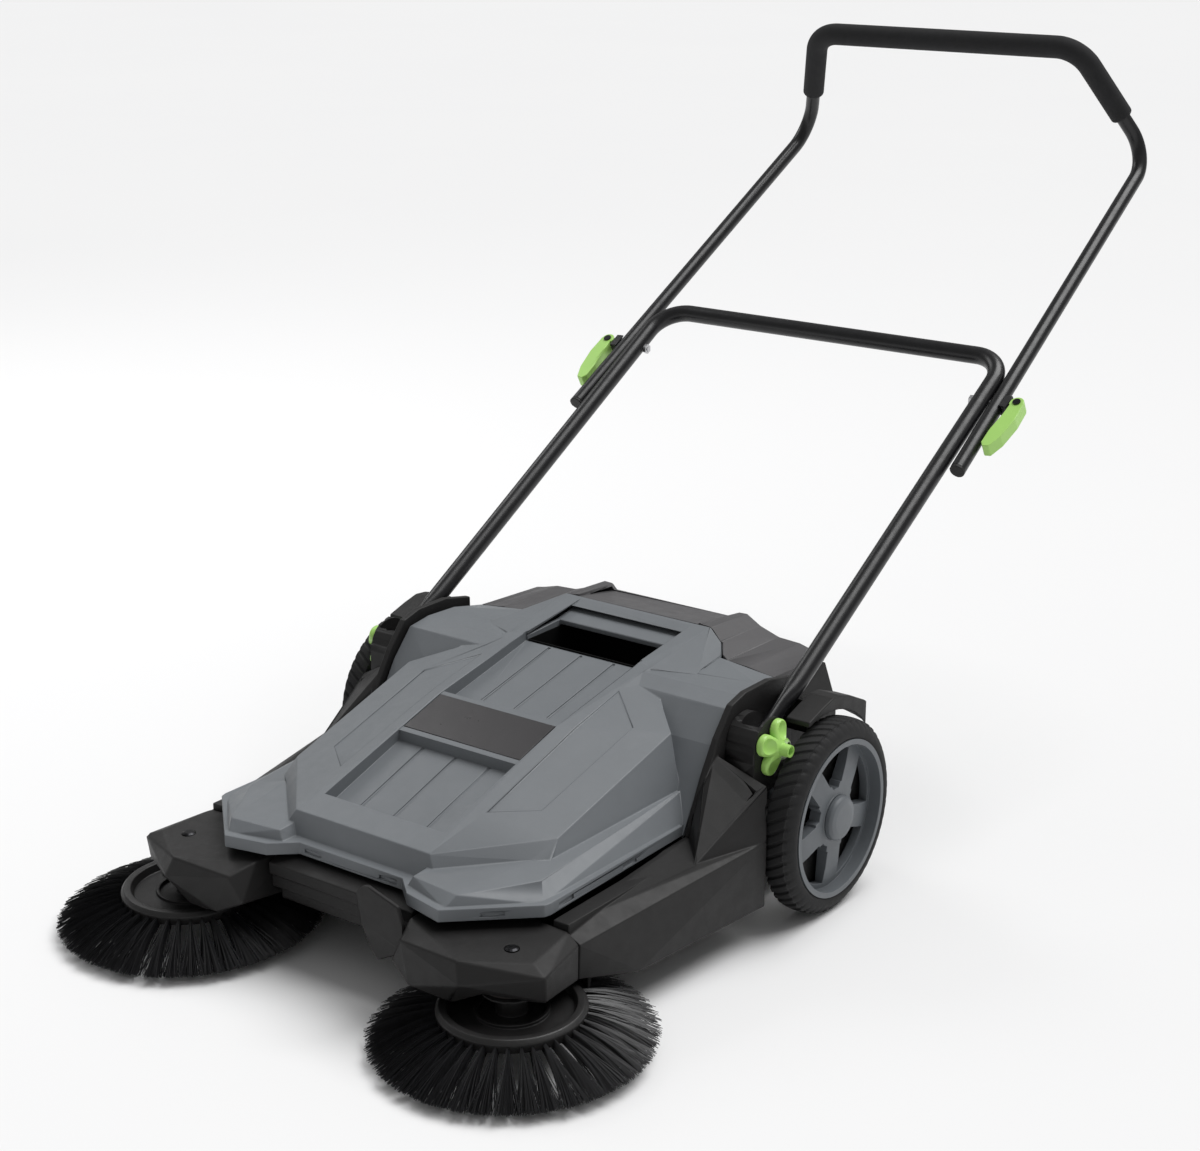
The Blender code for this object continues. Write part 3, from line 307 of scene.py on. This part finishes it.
def lathed(profile, segments=96, axis="Z"):
    """A closed profile of (radius, height) turned round an axis through the origin."""
    bm = bmesh.new()
    rings = []
    for radius, height in profile:
        if radius < 1e-7:
            rings.append([bm.verts.new((0.0, 0.0, height))])
            continue
        rings.append([bm.verts.new((radius * math.cos(math.tau * k / segments),
                                    radius * math.sin(math.tau * k / segments), height))
                      for k in range(segments)])
    for a, b in zip(rings, rings[1:] + rings[:1]):
        if len(a) == 1 and len(b) == 1:
            continue
        for k in range(segments):
            n = (k + 1) % segments
            corners = [a[k % len(a)], a[n % len(a)], b[n % len(b)], b[k % len(b)]]
            bm.faces.new(list(dict.fromkeys(corners)))
    if axis == "X":
        bm.transform(Matrix.Rotation(math.radians(90.0), 4, "Y"))
    bmesh.ops.recalc_face_normals(bm, faces=bm.faces)
    return bm


def rounded_profile(profile, radius, steps=4):
    """A closed (radius, height) profile with its corners off the axis turned into small arcs."""
    points = [Vector(p) for p in profile]
    result = []
    for i, corner in enumerate(points):
        before, after = points[i - 1], points[(i + 1) % len(points)]
        a, b = (before - corner), (after - corner)
        cut = min(radius, 0.45 * a.length, 0.45 * b.length)
        if corner.x < 1e-7 or a.angle(b) > math.radians(172):
            result.append(tuple(corner))
            continue
        start, end = corner + a.normalized() * cut, corner + b.normalized() * cut
        for k in range(steps + 1):
            t = k / steps
            result.append(tuple((1 - t) ** 2 * start + 2 * t * (1 - t) * corner + t * t * end))
    return result


def carve(base, *steps):
    """The base solid after a run of exact Booleans, each (operation, solid)."""
    def scratch(bm):
        mesh = bpy.data.meshes.new("scratch")
        bm.to_mesh(mesh)
        bm.free()
        thing = bpy.data.objects.new("scratch", mesh)
        bpy.context.scene.collection.objects.link(thing)
        return thing

    body = scratch(base)
    tools = [body]
    for operation, shape in steps:
        tools.append(scratch(shape))
        step = body.modifiers.new("step", "BOOLEAN")
        step.operation, step.solver, step.object = operation, "EXACT", tools[-1]
    bpy.context.view_layer.update()
    result = bmesh.new()
    result.from_object(body, bpy.context.evaluated_depsgraph_get())
    for thing in tools:
        mesh = thing.data
        bpy.data.objects.remove(thing)
        bpy.data.meshes.remove(mesh)
    bmesh.ops.remove_doubles(result, verts=result.verts, dist=1e-6)
    return result


def placed(bm, place=(0, 0, 0), turn=None, side=1):
    """Turn a solid, mirror it for the left-hand side, and move it into place."""
    if turn:
        bm.transform(turn)
    if side < 0:
        bm.transform(Matrix.Scale(-1, 4, (1, 0, 0)))
    bmesh.ops.translate(bm, verts=bm.verts, vec=place)
    bmesh.ops.recalc_face_normals(bm, faces=bm.faces)
    return bm


def arc(radius, first, last, steps, centre=(0.0, 0.0)):
    """Points on a circle from one angle to another, in degrees."""
    turns = [math.radians(first + (last - first) * k / steps) for k in range(steps + 1)]
    return [(centre[0] + radius * math.cos(t), centre[1] + radius * math.sin(t)) for t in turns]


def bent(corners, radius, steps=14):
    """A path through corners, each inner corner replaced by an arc."""
    corners = [Vector(c) for c in corners]
    path = [corners[0]]
    for before, corner, after in zip(corners, corners[1:], corners[2:]):
        a, b = (before - corner).normalized(), (after - corner).normalized()
        half = a.angle(b) / 2
        centre = corner + (a + b).normalized() * (radius / math.sin(half))
        inward, across = (corner - centre).normalized(), (a - b).normalized()
        for k in range(steps + 1):
            turn = (math.pi / 2 - half) * (1 - 2 * k / steps)
            path.append(centre + (inward * math.cos(turn) + across * math.sin(turn)) * radius)
    return path + [corners[-1]]


def swept(path, size, sides=36):
    """A closed bar along a path; size(at, total) gives its half width and half thickness."""
    points = [Vector(p) for p in path]
    lengths = [0.0]
    for a, b in zip(points, points[1:]):
        lengths.append(lengths[-1] + (b - a).length)
    bm = bmesh.new()
    rings = []
    for i, point in enumerate(points):
        heading = (points[min(i + 1, len(points) - 1)] - points[max(i - 1, 0)]).normalized()
        u = Vector((1, 0, 0)) - heading * heading.x
        if u.length < 0.3:
            u = Vector((0, 1, 0)) - heading * heading.y
        u.normalize()
        if i:
            u = (side - heading * side.dot(heading)).normalized()
        side = u
        v = heading.cross(u)
        wide, thick = size(lengths[i], lengths[-1])
        rings.append([bm.verts.new(point + u * (thick * math.cos(math.tau * k / sides))
                                   + v * (wide * math.sin(math.tau * k / sides)))
                      for k in range(sides)])
    for a, b in zip(rings, rings[1:]):
        for k in range(sides):
            n = (k + 1) % sides
            bm.faces.new((a[k], a[n], b[n], b[k]))
    bm.faces.new(rings[0])
    bm.faces.new(rings[-1])
    return bm


# ---------------------------------------------------------------- housings

for node, body, finish, width in (
        ("chassis_shell", "base", "chassis_black", 1.5 * MM),
        ("front_bar", "base", "chassis_black", 1.5 * MM),
        ("rear_cover", "base", "cover_grey", 1.4 * MM),
        ("container_lid", "container", "lid_grey", 1.3 * MM),
        ("debris_tub", "container", "chassis_black", 1.0 * MM),
        ("label_plate", "container", "plate_dark", 0.7 * MM)):
    softened(node, body, finish, width)


# painted shade in the finger pocket, a near-black thin box, in millimetres: lowest and highest
# corner, and its wall
SHADE_SHEET_LOW, SHADE_SHEET_HIGH = (-80.4, -161.1, 202.5), (80.4, -60.3, 246.5)
SHADE_SHEET_WALL = 1.0


def pocket_shade_sheet():
    """Painted shade for the finger pocket: a near-black thin box open to the top, so the deep
    pocket reads dark.
    """
    low, high = SHADE_SHEET_LOW, SHADE_SHEET_HIGH
    walls = []
    for inset in (0.0, SHADE_SHEET_WALL):
        walls.append(prism([((low[0] + inset) * MM, (low[1] + inset) * MM),
                            ((high[0] - inset) * MM, (low[1] + inset) * MM),
                            ((high[0] - inset) * MM, (high[1] - inset) * MM),
                            ((low[0] + inset) * MM, (high[1] - inset) * MM)],
                           (low[2] + inset) * MM, (high[2] + 9 * inset) * MM))
    return carve(walls[0], ("DIFFERENCE", walls[1]))


# the sunk panel of the lid: (y from the wheel axle, height) in millimetres
PANEL_HALF = 83.0
PANEL_FLOOR = [(-389, 154.0), (-266, 193.5), (-168, 217.0), (-45, 243.9)]
PANEL_EDGE = [(-389, 170.3), (-262, 207.4), (-197, 226.2), (-45, 254.4)]
PLATE_BORDER = ((-268, -261.3), (-197.7, -191))


def height_at(profile, y):
    """Height on a lengthways profile, by straight lines."""
    for (y0, z0), (y1, z1) in zip(profile, profile[1:]):
        if y <= y1:
            break
    return z0 + (z1 - z0) * (y - y0) / (y1 - y0)


def panel_frame():
    """Trim round the sunk panel: both side walls, the front wall and a border at the plate."""
    def strip(outline, low, high):
        return prism([(AXLE.y + y * MM, z * MM) for y, z in outline], low * MM, high * MM, "X")

    inner, outer = PANEL_HALF - 0.4, PANEL_HALF + 1.5
    front = [(-390.5, 152), (-388.4, 152), (-388.4, 170.4), (-390.5, 169.8)]
    wall = [(y, z - 1.0) for y, z in PANEL_FLOOR] + list(reversed(PANEL_EDGE))
    strips = [strip(front, -outer, outer), strip(wall, -outer, -inner), strip(wall, inner, outer)]
    for low, high in PLATE_BORDER:
        border = [(y, height_at(PANEL_FLOOR, y) - 1.0) for y in (low, high)]
        border += [(y, height_at(PANEL_EDGE, y) - 0.6) for y in (high, low)]
        strips.append(strip(border, -outer, outer))
    return carve(strips[0], *[("UNION", piece) for piece in strips[1:]])


round_edges(finished("panel_frame", panel_frame(), "container", "lid_grey",
                     stands_for=("container_lid",), crease=FACET), 0.3 * MM)
# painted shade: a near-black box inside the finger pocket, so it reads as dark as the deep pocket
# does in shade
finished("pocket_shade_sheet", pocket_shade_sheet(), "container", "painted_pocket_shade",
         stands_for=("container_lid",))
for side in SIDES:
    softened(f"brush_housing_{side}", "base", "chassis_black", 2.2 * MM)
    softened(f"handle_bracket_{side}", "base", "chassis_black", 1.4 * MM)


# ---------------------------------------------------------------- handle

LOWER_BOX, UPPER_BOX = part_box("lower_handle_tube"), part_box("upper_handle_tube")
FOAM_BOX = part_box("foam_grip")
LOWER_R, UPPER_R, FOAM_R = 11.0 * MM, 9.5 * MM, 14.6 * MM
LOWER_X = LOWER_BOX[1].x - LOWER_R
CROSS_Y, CROSS_Z = LOWER_BOX[1].y - LOWER_R, LOWER_BOX[1].z - LOWER_R
CROSS_X = 255.9 * MM
UPPER_X = UPPER_BOX[1].x - UPPER_R
UPPER_START = 450.0 * MM                    # along the tube, from the handle's pivot
BEND = Vector((261.1, 733.6, 738.5)) * MM   # where the upper tube cranks inward to the grip bar
TUBE_BEND, UPPER_BEND = 42.0 * MM, 45.0 * MM
GRIP = Vector((195.1 * MM, FOAM_BOX[0].y + FOAM_R, FOAM_BOX[1].z - FOAM_R))


def mirrored(points):
    """Points on the right-hand side, then their mirror image in reverse order."""
    points = [Vector(p) for p in points]
    return points + [Vector((-p.x, p.y, p.z)) for p in reversed(points)]


def finer(path, step):
    """The path with extra points, so that no span is longer than a step."""
    result = [path[0]]
    for a, b in zip(path, path[1:]):
        count = max(1, math.ceil((b - a).length / step))
        result += [a.lerp(b, k / count) for k in range(1, count + 1)]
    return result


def lower_size(at, total):
    """Round tube whose ends are pressed flat where they enter the brackets."""
    end = min(at, total - at)
    t = min(1.0, max(0.0, (end - 66.0 * MM) / (34.0 * MM)))
    t = t * t * (3 - 2 * t)
    return LOWER_R * (1.08 - 0.08 * t), LOWER_R * (0.62 + 0.38 * t)


def end_rounded(radius, lip):
    """Bar size with a rounded end of the given lip."""
    def size(at, total):
        end = min(at, total - at)
        if end < lip:
            radius_now = radius - lip + math.sqrt(max(0.0, lip ** 2 - (lip - end) ** 2))
            return radius_now, radius_now
        return radius, radius
    return size


lower_route = bent(mirrored([PIVOT + Vector((LOWER_X, 0, 0)) - UP_TUBE * 13.0 * MM,
                             (CROSS_X, CROSS_Y, CROSS_Z)]), TUBE_BEND)
finished("lower_handle_bar", swept(finer(lower_route, 8 * MM), lower_size), "lower_handle",
         "tube_paint", stands_for=("lower_handle_tube",), crease=50.0)
upper_start = PIVOT + Vector((UPPER_X, 0, 0)) + UP_TUBE * UPPER_START
upper_route = finer(bent(mirrored([upper_start, BEND, GRIP]), UPPER_BEND), 20 * MM)
finished("upper_handle_bar", swept(upper_route, lambda at, total: (UPPER_R, UPPER_R)),
         "upper_handle", "tube_paint", stands_for=("upper_handle_tube",), crease=50.0)
foam_route = finer(bent(mirrored([BEND.lerp(GRIP, 0.38), GRIP]), UPPER_BEND), 4 * MM)
ends = [foam_route[0].lerp(foam_route[1], share) for share in (0.0, 0.15, 0.35, 0.6)]
finished("foam_sleeve", swept(ends + foam_route[1:], end_rounded(FOAM_R, 3.0 * MM)), "upper_handle",
         "foam_black", stands_for=("foam_grip",), crease=60.0)


for side, s in SIDES.items():
    for node, finish in (("cam_lever", "lever_green"), ("cam_saddle", "saddle_black"),
                         ("tube_end_plug", "chassis_black")):
        body = f"lever_{side}" if node == "cam_lever" else "upper_handle"
        piece = softened(f"{node}_{side}", body, finish, 1.0 * MM, 1.5 * MM)


KNOB_TURN = {"right": 67.0, "left": 47.0}   # how far each knob stands turned at rest, in degrees
PETALS = 4
PETAL_OUT = 22.5                            # from the knob's axis to the middle of a petal's scoop


def hull(points):
    """The convex solid around a list of points."""
    bm = bmesh.new()
    result = bmesh.ops.convex_hull(bm, input=[bm.verts.new(p) for p in points])
    loose = [v for v in result["geom_interior"] if isinstance(v, bmesh.types.BMVert)]
    bmesh.ops.delete(bm, geom=loose, context="VERTS")
    bmesh.ops.recalc_face_normals(bm, faces=bm.faces)
    return bm


def star_knob(side):
    """Clamping knob: four fat petals that slope up to a bored hub, each scooped out."""
    hub = lathed([(r * MM, x * MM) for r, x in ((0, 275.8), (15, 275.8), (13, 284), (7.4, 290.6),
                                                (6.7, 301.5), (0, 301.5))], 48, "X")
    petals = []
    for k in range(PETALS):
        turn = 360.0 * k / PETALS + KNOB_TURN[side]
        c, n = math.cos(math.radians(turn)), math.sin(math.radians(turn))
        points = []
        for radius, out, x in ((11.2, 19.6, 275.8), (12.2, 19.4, 277.0), (12.2, 19.4, 281.8),
                               (11.0, 19.6, 283.4), (7.6, 0.0, 290.2)):
            points += [(x * MM, y * MM, z * MM)
                       for y, z in arc(radius, 0, 345, 23, (out * c, out * n))]
        scoop = bmesh.new()
        bmesh.ops.create_icosphere(scoop, subdivisions=4, radius=14.0 * MM)
        bmesh.ops.translate(scoop, verts=scoop.verts,
                            vec=(295.6 * MM, PETAL_OUT * c * MM, PETAL_OUT * n * MM))
        petals.append(("UNION", carve(hull(points), ("DIFFERENCE", scoop))))
    bore = lathed([(0, 270 * MM), (4.3 * MM, 270 * MM), (4.3 * MM, 296 * MM), (5.2 * MM, 296 * MM),
                   (5.2 * MM, 305 * MM), (0, 305 * MM)], 32, "X")
    return placed(carve(hub, *petals, ("DIFFERENCE", bore)), PIVOT, side=SIDES[side])


for side in SIDES:
    knob = finished(f"knob_{side}_moulding", star_knob(side), f"knob_{side}", "lever_green",
                    stands_for=(f"star_knob_{side}",), crease=34.0)
    round_edges(knob, 0.7 * MM, angle=40.0)


# ---------------------------------------------------------------- wheels

TYRE_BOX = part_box("wheel_tyre_right")
TYRE_IN, TYRE_OUT = TYRE_BOX[0].x, TYRE_BOX[1].x
WHEEL_R = (TYRE_BOX[1].z - TYRE_BOX[0].z) / 2
RIM_R = 90.0 * MM
TREAD_RIBS = 52
TYRE_STEPS = 720            # round the tyre
GROOVE_DEPTH = 1.9 * MM
GROOVE_SLANT = 1.6          # ribs that a groove crosses from one shoulder to the other
SPOKES = 5


def tyre(s):
    """Solid tyre with fine slanted grooves that fade out on the smooth outer shoulder."""
    inside = [(TYRE_IN + 3 * MM, RIM_R), (TYRE_IN, 92 * MM), (TYRE_IN, 99 * MM),
              (TYRE_IN + 1.5 * MM, 104 * MM), (TYRE_IN + 3.5 * MM, 108 * MM)]
    tread = [(TYRE_IN + (4.5 + k) * MM, WHEEL_R - 0.0012 * ((k - 12) / 12) ** 2)
             for k in range(25)]
    outside = [(319 * MM, 108.8 * MM), (322 * MM, 106.5 * MM), (324.6 * MM, 103 * MM),
               (326.4 * MM, 99 * MM), (TYRE_OUT, 95.5 * MM), (326.8 * MM, 92.5 * MM),
               (325.2 * MM, RIM_R)]
    across = inside + tread + outside
    bm = bmesh.new()
    rings = []
    for k in range(TYRE_STEPS):
        angle = math.tau * k / TYRE_STEPS
        ring = []
        for x, radius in across:
            share = (x - TYRE_IN) / (TYRE_OUT - TYRE_IN)
            bar = (angle * TREAD_RIBS / math.tau + GROOVE_SLANT * share) % 1.0
            groove = min(1.0, max(0.0, (0.21 - abs(bar - 0.5)) / 0.08))
            reach = min(1.0, max(0.0, (radius - 98 * MM) / (7 * MM)))
            depth = GROOVE_DEPTH * reach * groove * min(1.0, (1.04 - share) / 0.3)
            ring.append(bm.verts.new((x, (radius - depth) * math.cos(angle),
                                      (radius - depth) * math.sin(angle))))
        rings.append(ring)
    count = len(across)
    for a, b in zip(rings, rings[1:] + rings[:1]):
        for k in range(count):
            n = (k + 1) % count
            bm.faces.new((a[k], a[n], b[n], b[k]))
    return placed(bm, AXLE, side=s)


def rim(s):
    """Five-spoke rim with a stepped lip and a long hub sleeve."""
    barrel = [(84, 327.2), (84, 312), (84, 295), (89.7, 293.3), (89.7, 325.5), (90.5, 327.2)]
    disc = [(12, 305), (84.5, 303), (84.5, 312), (60, 316), (26, 319), (12, 319)]
    hub = [(8.3, 218), (13, 218), (13, 296), (20, 300), (27, 306), (27, 320), (8.3, 320)]
    windows = []
    for k in range(SPOKES):
        middle = 360.0 * (k + 0.25) / SPOKES
        outline = arc(78, middle - 25, middle + 25, 12) + arc(40, middle + 17, middle + 13, 2)
        outline += arc(34, middle + 9, middle - 9, 4) + arc(40, middle - 13, middle - 17, 2)
        windows.append(prism([(a * MM, b * MM) for a, b in outline], 290 * MM, 330 * MM, "X"))
    shapes = [lathed([(r * MM, x * MM) for r, x in profile], 120, "X")
              for profile in (disc, barrel, hub)]
    body = carve(shapes[0], *[("DIFFERENCE", window) for window in windows],
                 ("UNION", shapes[1]), ("UNION", shapes[2]))
    return placed(body, AXLE, side=s)


# the rim's back web, (radius, x) in millimetres; it is drawn in the brush hub's near-black as
# painted shade, so the spoke windows read dark where the real grey web lies in shade
WEB = [(20.5, 296.8), (83.6, 296.8), (83.6, 299.2), (20.5, 299.2)]
HUB_CAP = [(0, 330), (17, 329.8), (23, 328.4), (25.4, 325.5), (26, 320.6), (20.4, 320.6),
           (20.4, 323.3), (0, 323.3)]

for side, s in SIDES.items():
    body = f"wheel_{side}"
    finished(f"tyre_{side}", tyre(s), body, "tyre_rubber", stands_for=(f"wheel_tyre_{side}",))
    round_edges(finished(f"rim_{side}", rim(s), body, "rim_grey",
                         stands_for=(f"wheel_rim_{side}",)), 1.2 * MM)
    web = lathed([(r * MM, x * MM) for r, x in WEB], 96, "X")
    # painted shade: the web behind the spoke windows gets near-black instead of the rim's grey
    finished(f"rim_web_shade_{side}", placed(web, AXLE, side=s), body, "brush_hub_black",
             stands_for=(f"wheel_rim_{side}",))
    cap = lathed(rounded_profile([(r * MM, x * MM) for r, x in HUB_CAP], 1.0 * MM), 96, "X")
    finished(f"wheel_cap_{side}", placed(cap, AXLE, side=s), body, "rim_grey",
             stands_for=(f"hub_cap_{side}",))


# ---------------------------------------------------------------- side brushes

TUFTS = 40
HAIRS = 104                 # in each tuft
HAIR_R = 0.52 * MM
TUFT_FAN = 0.62             # how far a hair leans to the side, as a share of the tufts' spacing
HUB = [(7.3, 36), (62, 36), (62, 34.5), (75.5, 34.5), (76, 44), (72.5, 48.2), (65, 48.2),
       (62, 39.5), (38, 39.5), (38, 43), (34, 43), (34, 39.5), (16, 39.5), (16, 58), (7.3, 58)]


def brush_place(side):
    """The brush's own frame: its spindle on Z."""
    joint = JOINTS[f"brush_{side}_spin"]
    tilt = Vector((0, 0, 1)).rotation_difference(Vector(joint["axis"])).to_matrix().to_4x4()
    return Matrix.Translation(joint["pos_m"]) @ tilt


def hair(bm, root, middle, tip, thick, sides=3, spans=5):
    """One bristle as a thin tapered bar along a quadratic curve."""
    rings = []
    for k in range(spans + 1):
        t = k / spans
        point = root * (1 - t) ** 2 + middle * (2 * t * (1 - t)) + tip * t * t
        heading = ((middle - root) * (1 - t) + (tip - middle) * t).normalized()
        u = heading.cross(Vector((0, 0, 1))).normalized()
        v = heading.cross(u)
        width = thick * (1.0 - 0.25 * t)
        rings.append([bm.verts.new(point + (u * math.cos(a) + v * math.sin(a)) * width)
                      for a in (math.tau * n / sides for n in range(sides))])
    for a, b in zip(rings, rings[1:]):
        for k in range(sides):
            n = (k + 1) % sides
            bm.faces.new((a[k], a[n], b[n], b[k]))
    bm.faces.new(rings[0])
    bm.faces.new(rings[-1])


def bristles(side):
    """Tufts set in the hub's rim, fanned out and drooping to the floor."""
    draw = random.Random(11 if side == "right" else 23)
    bm = bmesh.new()
    for k in range(TUFTS):
        heading = math.tau * (k + draw.uniform(-0.08, 0.08)) / TUFTS
        for _ in range(HAIRS):
            low = draw.random() ** 0.8
            fan = draw.gauss(0.0, 0.30)
            fan = max(-TUFT_FAN, min(TUFT_FAN, fan)) * math.tau / TUFTS
            start = heading + 0.14 * fan
            across = heading + 0.42 * fan
            end = heading + 1.15 * fan + draw.gauss(0, 0.006)
            reach = 148.6 - 21.0 * low ** 1.6 + draw.uniform(-3.5, 0.3)
            points = []
            for radius, turn, height in (
                    (71.0 + draw.uniform(-3, 4), start, 42.5 - 11.0 * low),
                    (108.0, across, 37.5 - 17.0 * low),
                    (reach, end, 15.0 - 12.6 * low + draw.uniform(-0.8, 0.8))):
                points.append(Vector((radius * math.cos(turn), radius * math.sin(turn),
                                      height)) * MM)
            hair(bm, *points, HAIR_R)
    return placed(bm, turn=brush_place(side))


for side in SIDES:
    body = f"brush_{side}"
    hub = lathed(rounded_profile([(r * MM, h * MM) for r, h in HUB], 1.2 * MM), 120)
    finished(f"hub_{side}", placed(hub, turn=brush_place(side)), body, "brush_hub_black",
             stands_for=(f"brush_hub_{side}",))
    finished(f"bristles_{side}", bristles(side), body, "bristle_black",
             stands_for=(f"brush_bristles_{side}",), crease=80.0)


# ---------------------------------------------------------------- CAD nodes that stay

for node, thing in frame["nodes"].items():
    if thing.hide_render:
        continue
    kind = node.rsplit("_", 1)[0]
    finish = {"drive_belt": "belt_rubber", "wheel_pulley": "nylon_white",
              "brush_pulley": "brush_hub_black", "axle_bush": "nylon_white",
              "housing_screw": "black_steel", "lever_pin": "black_steel"}.get(kind, "steel")
    thing.data.materials.clear()
    thing.data.materials.append(MATERIALS[finish])


# ---------------------------------------------------------------- stage, light, camera

FLOOR_HALF = 40.0


def stage_floor():
    """Wide pale floor."""
    half = FLOOR_HALF
    bm = bmesh.new()
    bm.faces.new([bm.verts.new(p) for p in ((-half, -half, 0), (half, -half, 0),
                                            (half, half, 0), (-half, half, 0))])
    mesh = bpy.data.meshes.new("floor")
    bm.to_mesh(mesh)
    bm.free()
    tree, shader = new_material("floor_pale")
    wire(tree, mix(tree, noise_node(tree, 0.6), (0.83, 0.83, 0.835), (0.85, 0.85, 0.85)),
         shader.inputs["Base Color"])
    shader.inputs["Roughness"].default_value = 0.9
    shader.inputs["Specular IOR Level"].default_value = 0.1
    mesh.materials.append(MATERIALS["floor_pale"])
    floor = bpy.data.objects.new("floor", mesh)
    bpy.context.scene.collection.objects.link(floor)


def light(name, kind, power, place, target, **settings):
    """A lamp at a place, aimed at a target."""
    data = bpy.data.lights.new(name, kind)
    data.energy = power
    for key, value in settings.items():
        setattr(data, key, value)
    lamp = bpy.data.objects.new(name, data)
    lamp.location = place
    heading = Vector(target) - Vector(place)
    lamp.rotation_euler = heading.to_track_quat("-Z", "Y").to_euler()
    bpy.context.scene.collection.objects.link(lamp)


CAMERA_PLACE = (1.4868, -2.1240, 1.1429)
CAMERA_AZIMUTH, CAMERA_DOWN = 36.685, 18.051    # in degrees
CAMERA_LENS, CAMERA_SENSOR = 68.17, 36.0        # in millimetres

stage_floor()
world = bpy.data.worlds.new("studio")
world.use_nodes = True
world.node_tree.nodes["Background"].inputs["Color"].default_value = (1.0, 1.0, 1.0, 1.0)
world.node_tree.nodes["Background"].inputs["Strength"].default_value = 0.30
bpy.context.scene.world = world
light("key", "SUN", 2.72, (0.6, 1.0, 2.4), (0, 0, 0), angle=math.radians(45))
light("left_softbox", "AREA", 12.0, (-2.4, 0.4, 2.2), (0, 0, 0.3), size=1.2)
bpy.context.scene.view_settings.view_transform = "Standard"

camera_data = bpy.data.cameras.new("camera")
camera_data.lens, camera_data.sensor_width = CAMERA_LENS, CAMERA_SENSOR
camera_data.clip_end = 200.0
camera = bpy.data.objects.new("camera", camera_data)
camera.location = CAMERA_PLACE
camera.rotation_euler = (math.radians(90.0 - CAMERA_DOWN), 0.0, math.radians(CAMERA_AZIMUTH))
bpy.context.scene.collection.objects.link(camera)
bpy.context.scene.camera = camera
